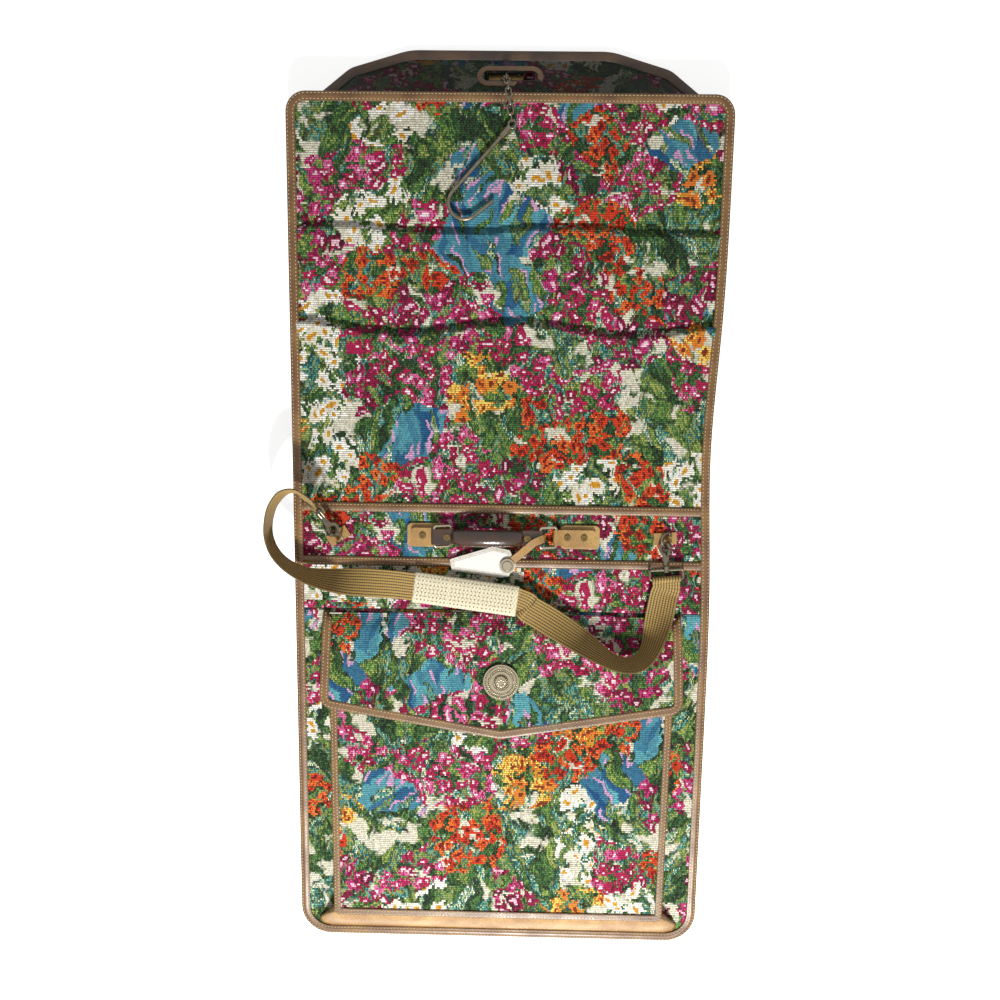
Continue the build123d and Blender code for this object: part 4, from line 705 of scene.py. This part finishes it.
def slope_place(i, j):
    u = i / tip_columns
    x_face = 254.0 * (1 - 2 * u)
    if j == 0:
        return x_face, 568.0, 38.4
    if j == tip_rows:
        return far_edge[i].x, far_edge[i].y, 5.2
    t = (j - 1) / (tip_rows - 2)
    back = near_edge[i]
    x = x_face + (back.x - x_face) * t
    y = 557.0 + (back.y - 557.0) * t
    ripple = sin(pi * t) * (2.0 * noise.noise(Vector((x * 0.02, t * 2, 5))) + 1.2 * sin(x / 17))
    return x, y, 38.2 + (6.6 - 38.2) * t + ripple


slope = laid_grid(tip_columns, tip_rows, slope_place,
                  lambda i, j: (slope_place(i, j)[0] + 40, slope_place(i, j)[1] + 400 + 1.2 * j))
slit_faces = [f for f in slope.faces if abs(f.calc_center_median().x) < 33
              and 589 < f.calc_center_median().y < 603]
bmesh.ops.delete(slope, geom=slit_faces, context="FACES")
slope_piece = finish_piece("top_gusset_cloth", slope, shaded_tapestry, ["top_gusset"], 2.2,
                           offset=0.0)
welt_mesh = nodes["slit_welt"].data
welt_mesh.materials.clear()
welt_mesh.materials.append(binding_hide)

# %% Back panel, open along the zip
back_rim = outline(back_corners, 1.9)


def spread_stops(values, step):
    out = [values[0]]
    for a, b in zip(values, values[1:]):
        pieces = max(1, round(abs(b - a) / step))
        out += [a + (b - a) * k / pieces for k in range(1, pieces + 1)]
    return out


zip_middle, zip_foot, zip_head = 150.0, -470.0, 500.0
slot_left, slot_right = 137.0, 163.0
back_ys = spread_stops([-panel_edge, zip_foot, zip_head, 569.0, 629.0], 16)
left_count = len(spread_stops([-277.0, slot_left], 16)) - 1
right_count = len(spread_stops([slot_right, 277.0], 16)) - 1


def back_place(i, j):
    y = back_ys[j]
    left, right = span(back_rim, y)
    if i <= left_count:
        x = left + (min(slot_left, right) - left) * i / left_count
    else:
        reach = max(right, slot_right + 1.0) - slot_right
        x = min(slot_right + reach * (i - left_count - 1) / right_count, right)
    rim = ease(min(abs(x - left), abs(right - x), abs(y + 568), abs(630 - y)) / 13 - 0.6)
    return x, y, 4.0 - 1.4 * rim


back = laid_grid(left_count + right_count + 1, len(back_ys) - 1, back_place)
slot_faces = [f for f in back.faces if 140 < f.calc_center_median().x < 160
              and zip_foot < f.calc_center_median().y < zip_head]
bmesh.ops.delete(back, geom=slot_faces, context="FACES")
back_piece = finish_piece("back_cloth", back, tapestry, ["back_panel"], 2.0)

# %% [markdown]
# ## Pocket and flap
# The pocket is a cloth front on low side walls, deeper at its foot, where a sloping panel of glossy
# leather closes it. The flap is sewn along its hinge and held by a snap under the round ornament.

# %% Pocket front, binding and walls


def pocket_spot(x, s, level):
    return (x, -522 + s * cos(pocket_tilt) + level * sin(pocket_tilt),
            68 - s * sin(pocket_tilt) + level * cos(pocket_tilt))


pocket_rim = outline(pocket_corners, 1.9)
pocket_columns, pocket_rows = 80, 66


def pocket_place(i, j):
    s = 1.9 + (pocket_rise - 3.8) * j / pocket_rows
    left, right = span(pocket_rim, s)
    x = left + (right - left) * i / pocket_columns
    free = ease((225 - abs(x)) / 60) * ease(s / 50) * ease((255 - s) / 60)
    swell = free * (2.2 + 1.8 * noise.noise(Vector((x * 0.012, s * 0.014, 1.7))))
    return pocket_spot(x, s, 2.4 + swell)


def pocket_run(i, j):
    x, y, z = pocket_place(i, j)
    return x - 60, y + 95


pocket_piece = finish_piece("pocket_cloth", laid_grid(pocket_columns, pocket_rows, pocket_place, pocket_run),
                            tapestry, ["pocket_front"], 2.4)
pocket_section = [(9.6, 2.5), (9.6, 3.6), (8.6, 4.1), (7.2, 3.6), (4.8, 4.4), (2.4, 3.6), (1.0, 3.9),
                  (0.0, 3.0), (0.0, -0.6), (0.8, -1.5), (9.6, -1.6), (9.6, 0.0), (1.7, 0.0), (1.7, 2.5)]
binding("pocket_edge", pocket_corners, pocket_section,
        lambda spot, level: pocket_spot(spot.x, spot.y, level), ["pocket_binding"])


def pocket_wall(name, side):
    def place(i, j):
        s = 12 + (pocket_rise - 22) * i / 60
        half = 227 + 7 * s / pocket_rise - 9.8
        x, y, top = pocket_spot(half, s, -1.7)
        t = j / 8
        tuck = -3.0 * sin(pi * t) * min(1.0, (top - 42) / 14)
        return side * (x + tuck), y, top + (42.2 - top) * t

    def run(i, j):
        return 6.3 * i + 500, 3.0 * j

    piece = finish_piece(name + "_cloth", laid_grid(60, 8, place, run), tapestry, [name], 2.2,
                         offset=0.0, face_up=False)


pocket_wall("pocket_side_left", -1)
pocket_wall("pocket_side_right", 1)

# %% Leather foot of the pocket
foot_low = [Vector(p) for p in [(-217, -511), (-240, -532), (-255, -546), (-250, -554), (-238, -557.6),
                                (238, -557.6), (250, -554), (255, -546), (240, -532), (217, -511)]]
low_run = lengths(foot_low)
foot_columns, foot_rows = 100, 12
foot_top, foot_hem = 66.0, 43.0


def foot_point(points, total, u):
    want = u * total[-1]
    for k in range(len(points) - 1):
        if total[k + 1] >= want - 1e-6:
            return points[k].lerp(points[k + 1], (want - total[k]) / max(total[k + 1] - total[k], 1e-6))
    return points[-1]


def foot_place(i, j):
    u = i / foot_columns
    low = foot_point(foot_low, low_run, u)
    x_high = 217.0 * max(-1.0, min(1.0, low.x / 232.0))
    t = j / foot_rows
    x = x_high + (low.x - x_high) * t
    y = -512.2 + (low.y + 512.2) * t
    belly = 3.4 * sin(pi * t) * ease((250 - abs(x)) / 30)
    ripple = 0.9 * sin(pi * t) * noise.noise(Vector((x * 0.02, t, 2)))
    return x, y - belly * 0.55, foot_top + (foot_hem - foot_top) * t + belly * 0.8 + ripple


foot = laid_grid(foot_columns, foot_rows, foot_place, lambda i, j: (5.3 * i, 4.3 * j))
foot_piece = finish_piece("pocket_foot_leather", foot, foot_hide,
                          ["pocket_bottom_gusset"], 1.5)

# %% Flap and its binding


def flap_spot(x, y, level):
    over = 46 + (-128 - y) * tan(pocket_tilt) + 6 / cos(pocket_tilt)
    at_end = 46 + (-128 + 121) * tan(pocket_tilt) + 6 / cos(pocket_tilt)
    base = over if y <= -121 else 43.6 + (at_end - 43.6) * ease((-91 - y) / 30)
    return x, y, base + level


flap_rim = outline(flap_corners, 1.9)
flap_columns, flap_rows = 84, 40


def flap_place(i, j):
    y = -92.0 + (-262.0 + 92.0) * j / flap_rows
    left, right = span(flap_rim, y)
    x = left + (right - left) * i / flap_columns
    calm = ease((hypot(x, y + 185) - 26) / 30) * ease((235 - abs(x)) / 40) * ease((-100 - y) / 20)
    wave = calm * (0.9 + 0.9 * noise.noise(Vector((x * 0.013, y * 0.015, 4.4))))
    return flap_spot(x, y, 2.4 + wave)


def flap_run(i, j):
    x, y, z = flap_place(i, j)
    return x + 320, y - 40


flap_piece = finish_piece("flap_cloth", laid_grid(flap_columns, flap_rows, flap_place, flap_run), tapestry,
                          ["flap"], 2.4)
flap_section = [(12.0, 2.5), (12.0, 3.4), (11.0, 4.0), (9.4, 3.5), (6.2, 4.3), (3.0, 3.5), (1.0, 3.9),
                (0.0, 3.0), (0.0, -0.6), (0.8, -1.5), (12.0, -1.6), (12.0, 0.0), (1.7, 0.0), (1.7, 2.5)]
flap_count = len(outline(flap_corners)) - round(480 / point_gap) + 1
binding("flap_edge", flap_corners, flap_section, lambda spot, level: flap_spot(spot.x, spot.y, level),
        ["flap_binding"], ARC, flap_count - ARC)

# %% [markdown]
# ## Shoulder strap
# Ribbed webbing is woven with thick cords along its length, so its face is a row of ridges. The strap
# lies flat under its label and stands on edge where it turns back to the snap hooks.

# %% Strap route
# stops along the strap as (x, y, z, bank in degrees)
strap_stops = [(217.349, -43.699, 52.721, 0), (217.89, -52.68, 52.72, 0), (214.5, -64, 53, 4),
               (209.7, -87, 58, 18), (203.5, -110, 66, 42), (196, -131, 73.5, 62),
               (184, -146.5, 76.5, 72), (167, -152, 77, 75),
               (149, -148.5, 76.5, 72), (129, -138, 74, 60), (107, -124.5, 69.5, 43), (83, -110, 64.5, 27),
               (58, -95.5, 60, 12), (36, -83.5, 57, 3), (20.5, -74, 55.5, 0), (-118.5, -56.5, 54, 0),
               (-148, -53.5, 54.5, 4), (-178, -51.5, 57, 16), (-208, -49.5, 61, 36), (-236, -46, 64.5, 58),
               (-262, -39, 66, 75), (-285, -26, 66.5, 85), (-300, -9, 66.5, 89), (-307, 12, 66.5, 90),
               (-305.5, 34, 67.5, 88), (-298, 54, 70, 84), (-284, 69, 73.5, 79), (-267, 71.5, 75.5, 73),
               (-252.34, 60.05, 73.81, 65), (-247.825, 53.032, 70.440, 65)]
strap_centres, strap_banks = [], []
for k in range(len(strap_stops) - 1):
    near = [min(max(m, 0), len(strap_stops) - 1) for m in (k - 1, k, k + 1, k + 2)]
    p0, p1, p2, p3 = (Vector(strap_stops[m]) for m in near)
    straight = k == 14
    for m in range(10):
        t = m / 10
        if straight:
            spot = p1.lerp(p2, t)
        else:
            spot = 0.5 * (2 * p1 + (p2 - p0) * t + (2 * p0 - 5 * p1 + 4 * p2 - p3) * t * t
                          + (3 * p1 - p0 - 3 * p2 + p3) * t ** 3)
            if k in (13, 15):
                spot = spot.lerp(p1.lerp(p2, t), (t if k == 13 else 1 - t))
        strap_centres.append(spot.xyz)
        strap_banks.append(spot.w)
strap_centres.append(Vector(strap_stops[-1][:3]))
strap_banks.append(65)


def strap_axes(k):
    a = strap_centres[max(k - 1, 0)]
    b = strap_centres[min(k + 1, len(strap_centres) - 1)]
    way = (b - a).normalized()
    flat = Vector((0, 0, 1)).cross(way).normalized()
    up = way.cross(flat)
    bank = radians(strap_banks[k])
    return flat * cos(bank) + up * sin(bank), up * cos(bank) - flat * sin(bank)


# %% Webbing
rib_steps = 40
strap_wide, end_roll = 38.0, 4.1
strap_run = lengths(strap_centres)


def strap_place(i, j):
    across, level = strap_axes(i)
    j = j % (2 * rib_steps)
    top = j <= rib_steps
    share = j / rib_steps if top else 2 - j / rib_steps
    offset = (share - 0.5) * strap_wide
    ridge = 0.35 * abs(sin(pi * 10 * share)) + 0.78
    ridge = ridge if 0.02 < share < 0.98 else 0.5
    return strap_centres[i] + across * offset + level * (ridge if top else -ridge)


webbing = laid_grid(len(strap_centres) - 1, 2 * rib_steps, strap_place,
                    lambda i, j: (strap_run[i], (j % (2 * rib_steps)) * 0.95))
strap_web_ridged, tree = blank_material("ribbed_webbing_face")
shader = add_node(tree, "ShaderNodeBsdfPrincipled", {"Roughness": 0.72})
shader.inputs["Sheen Weight"].default_value = 0.15
place = add_node(tree, "ShaderNodeUVMap", uv_map="run")
mm = add_node(tree, "ShaderNodeVectorMath", {0: place, 1: (1000, 1000, 0)}, operation="MULTIPLY")
axes = add_node(tree, "ShaderNodeSeparateXYZ", {0: mm})
# painted shade: the furrows between the cords are drawn dark brown, the crests gold
turn = add_node(tree, "ShaderNodeMath", {0: axes.outputs[1], 1: pi / 3.8}, operation="MULTIPLY")
ridge = add_node(tree, "ShaderNodeMath", {0: turn}, operation="SINE")
ridge = add_node(tree, "ShaderNodeMath", {0: ridge}, operation="ABSOLUTE")
weft = add_node(tree, "ShaderNodeMath", {0: axes, 1: pi / 1.5}, operation="MULTIPLY")
weft = add_node(tree, "ShaderNodeMath", {0: weft}, operation="SINE")
tone = add_node(tree, "ShaderNodeMath", {0: weft, 1: 0.14, 2: ridge}, operation="MULTIPLY_ADD")
tone = add_node(tree, "ShaderNodeMapRange", {0: tone, 1: 0.12, 2: 0.85})
colour = add_node(tree, "ShaderNodeMixRGB", {0: tone, 1: paint("#2b1e0d"), 2: paint("#b4934e")})
bump = add_node(tree, "ShaderNodeBump", {"Height": weft, "Strength": 0.3, "Distance": 0.0004})
tree.links.new(colour.outputs[0], shader.inputs["Base Color"])
tree.links.new(bump.outputs[0], shader.inputs["Normal"])
add_node(tree, "ShaderNodeOutputMaterial", {0: shader})
bmesh.ops.holes_fill(webbing, edges=[e for e in webbing.edges if e.is_boundary], sides=200)
for end in (0, len(strap_centres) - 1):
    across, level = strap_axes(end)
    way = (strap_centres[1] - strap_centres[0]) if end == 0 else (strap_centres[-1] - strap_centres[-2])
    outward = -way.normalized() if end == 0 else way.normalized()
    centre = strap_centres[end] + outward * 3.0
    turn_to = Matrix((outward.cross(across), outward, across)).transposed().to_4x4()
    roll = bmesh.ops.create_cone(webbing, segments=28, radius1=end_roll, radius2=end_roll, depth=strap_wide,
                                 cap_ends=True, matrix=Matrix.Translation(centre) @ turn_to)
    run_layer = webbing.loops.layers.uv["run"]
    for face in {f for v in roll["verts"] for f in v.link_faces}:
        for loop in face.loops:
            out = loop.vert.co - centre
            loop[run_layer].uv = (end_roll * MM * atan2(out.dot(outward), out.dot(outward.cross(across))),
                                  (out.dot(across) + strap_wide / 2) * MM)
finish_piece("strap_webbing", webbing, strap_web_ridged, ["shoulder_strap"], closed=True)

# %% Label sleeve
label_from, label_to = Vector((20.5, -74, 55.5)), Vector((-118.5, -56.5, 54))
label_way = (label_to - label_from).normalized()
label_across = Vector((0, 0, 1)).cross(label_way).normalized()
label_up = label_way.cross(label_across)
label_mid = (label_from + label_to) / 2
label_long = 139.0
label_ring = [(-20.5, -1.6), (-20.5, 1.6), (-19.9, 2.3), (-10, 2.45), (0, 2.4), (10, 2.45), (19.9, 2.3),
              (20.5, 1.6), (20.5, -1.6), (19.9, -2.4), (0, -2.4), (-19.9, -2.4)]


def label_place(i, j):
    a, b = label_ring[j % 12]
    return label_mid + label_way * (label_long * (i / 60 - 0.5)) + label_across * a + label_up * b


label = laid_grid(60, 12, label_place, lambda i, j: (i * 2.3, j * 5.0))
bmesh.ops.holes_fill(label, edges=[e for e in label.edges if e.is_boundary], sides=40)
finish_piece("label_sleeve", label, cream_cloth, ["strap_label"], closed=True)


# %% [markdown]
# ## Stitching
# Every binding and plate on the real bag carries rows of thick pale thread. Each stitch is a small bead
# laid along its row, a little longer than a real one so that it shows at this distance.

# %% Stitch rows
def pour(batch, shape):
    """Adds a small bmesh to a large one; operators are slow on a large one."""
    carrier = bpy.data.meshes.new("carrier")
    batch.to_mesh(carrier)
    batch.free()
    shape.from_mesh(carrier)
    bpy.data.meshes.remove(carrier)
    return bmesh.new()


def stitch_rows(name, rows, body="bag", long=3.2, wide=1.15, pitch=4.7, material=thread_cloth):
    shape, batch, made = bmesh.new(), bmesh.new(), 0
    for row in rows:
        total = lengths(row)
        at = pitch / 2
        k = 0
        while at < total[-1]:
            while total[k + 1] < at:
                k += 1
            way = (row[k + 1] - row[k]).normalized()
            spot = row[k].lerp(row[k + 1], (at - total[k]) / max(total[k + 1] - total[k], 1e-6))
            side = Vector((0, 0, 1)).cross(way).normalized()
            turn_to = Matrix((way, side, way.cross(side))).transposed().to_4x4()
            stretch = Matrix.Diagonal((long / 2, wide / 2, wide / 2.2, 1))
            bmesh.ops.create_uvsphere(batch, u_segments=6, v_segments=3, radius=1.0,
                                      matrix=Matrix.Translation(spot) @ turn_to @ stretch)
            at += pitch
            made += 1
            if made % 40 == 0:
                batch = pour(batch, shape)
    pour(batch, shape).free()
    for vert in shape.verts:
        vert.co = waist(vert.co)
    print(name, "stitches", made)
    return finish_piece(name, shape, material, (), body=body, closed=True)


def ring_row(corners, inset, lift, first=0, last=None, close=True):
    ring = outline(corners, inset)[first:last]
    row = [Vector(lift(p)) for p in ring]
    return row + row[:1] if close else row


rim_rows = [ring_row(face_corners, inset, lambda p: (p.x, p.y, 43.5)) for inset in (2.6, 9.5)]
cross_rows = [[Vector((x, y + side, 43.4)) for x in range(-266, 267, 14)]
              for y in (upper_seam, lower_seam) for side in (-3.3, 3.3)]
stitch_rows("face_stitching", rim_rows + cross_rows)
stitch_rows("pocket_stitching",
            [ring_row(pocket_corners, inset, lambda p: pocket_spot(p.x, p.y, 3.8)) for inset in (2.5, 7.1)])
stitch_rows("flap_stitching", [ring_row(flap_corners, inset, lambda p: flap_spot(p.x, p.y, 3.7), ARC,
                                        flap_count - ARC, False) for inset in (3.1, 9.3)])
plate_rows = []
for side in (-1, 1):
    near, far = side * 78.4, side * 125.6
    border = [(near, -1.4), (far, -1.4), (far, 25.4), (near, 25.4), (near, -1.4)]
    plate_rows.append([Vector((x, y, 44.3)) for x, y in border])
stitch_rows("plate_stitching", plate_rows, long=2.0, wide=0.8, pitch=3.1)
tag_edge = [Vector((-66.5, -21.6, 47.2)), Vector((-14.5, -5.0, 47.2)), Vector((4.5, -9.0, 47.2))]
stitch_rows("tag_stitching", [tag_edge], body="grip", long=2.0, wide=0.8, pitch=3.1, material=cream_cloth)

# %% Label stitching, in three blocks of short rows
label_rows = []
for start, end in ((-64, -24), (-21, 21), (24, 64)):
    for k in range(7):
        offset = -15.6 + 5.2 * k
        label_rows.append([label_mid + label_way * s + label_across * offset + label_up * 2.5
                           for s in (start, (start + end) / 2, end)])
brown_thread, tree = blank_material("olive_label_thread")
thread_shader = add_node(tree, "ShaderNodeBsdfPrincipled",
                         {"Roughness": 0.7, "Base Color": paint("#93875a")})
add_node(tree, "ShaderNodeOutputMaterial", {0: thread_shader})
stitch_rows("label_stitching", label_rows, long=2.6, wide=1.5, pitch=5.3, material=brown_thread)

# %% [markdown]
# ## Ornament
# The snap's cover is a stamped nickel disc: a beaded rim, a second ring of beads and a domed centre. The
# beads stand on the CAD disc.

# %% Beads and rosette
low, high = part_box("medallion")
disc_mid = (low + high) / 2 / MM
disc_up = Vector((0, sin(pocket_tilt), cos(pocket_tilt)))
disc_side = Vector((1, 0, 0))
disc_along = disc_up.cross(disc_side)
disc_centre = Vector((disc_mid.x, -185.0, 0))
beads = bmesh.new()


def on_disc(radius, angle):
    """The point of the CAD disc straight below a spot on a circle round its middle."""
    spot = disc_centre + disc_side * (radius * cos(angle)) + disc_along * (radius * sin(angle))
    above = Vector((spot.x * MM, spot.y * MM, 0.2))
    return nodes["medallion"].ray_cast(above, Vector((0, 0, -1)))[:3]


print("medallion box mm", [round(c / MM, 1) for c in low], [round(c / MM, 1) for c in high])
for ring_radius, ring_beads, bead in ((21.0, 46, 1.3), (16.9, 38, 1.2), (8.6, 20, 1.05)):
    for k in range(ring_beads):
        angle = 2 * pi * k / ring_beads
        hit, point, normal = on_disc(ring_radius, angle)
        if hit:
            bmesh.ops.create_icosphere(beads, subdivisions=1, radius=bead,
                                       matrix=Matrix.Translation(point / MM + normal * bead * 0.4))
for k in range(8):
    angle = 2 * pi * k / 8
    hit, point, normal = on_disc(4.6, angle)
    if hit:
        stretch = Matrix.Rotation(angle, 4, "Z") @ Matrix.Diagonal((2.2, 1.2, 0.8, 1))
        bmesh.ops.create_icosphere(beads, subdivisions=2, radius=1.0,
                                   matrix=Matrix.Translation(point / MM) @ stretch)
finish_piece("ornament_beads", beads, bright_nickel, (), closed=True)

# %% [markdown]
# ## The long zip in the back
# A coil zip sewn between two dark tapes. The tapes and the teeth are small pieces on the CAD route.

# %% Zip tapes and teeth
zip_low, zip_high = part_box("zip_tapes")
zip_level = (zip_low.z + zip_high.z) / 2 / MM
zip_shape = bmesh.new()
for side in (-1, 1):
    x_mid = zip_middle + side * 9.6
    spot = Matrix.Translation((x_mid, 15.0, zip_level)) @ Matrix.Diagonal((16.0, 990.0, 0.8, 1))
    bmesh.ops.create_cube(zip_shape, size=1.0, matrix=spot)
for k in range(320):
    side = -1 if k % 2 else 1
    spot = Matrix.Translation((zip_middle + side * 0.9, -466 + 3.0 * k, zip_level))
    bmesh.ops.create_cube(zip_shape, size=1.0, matrix=spot @ Matrix.Diagonal((2.6, 1.6, 1.8, 1)))
finish_piece("zip_tape_and_teeth", zip_shape, zip_cloth, ["zip_tapes"], closed=True)
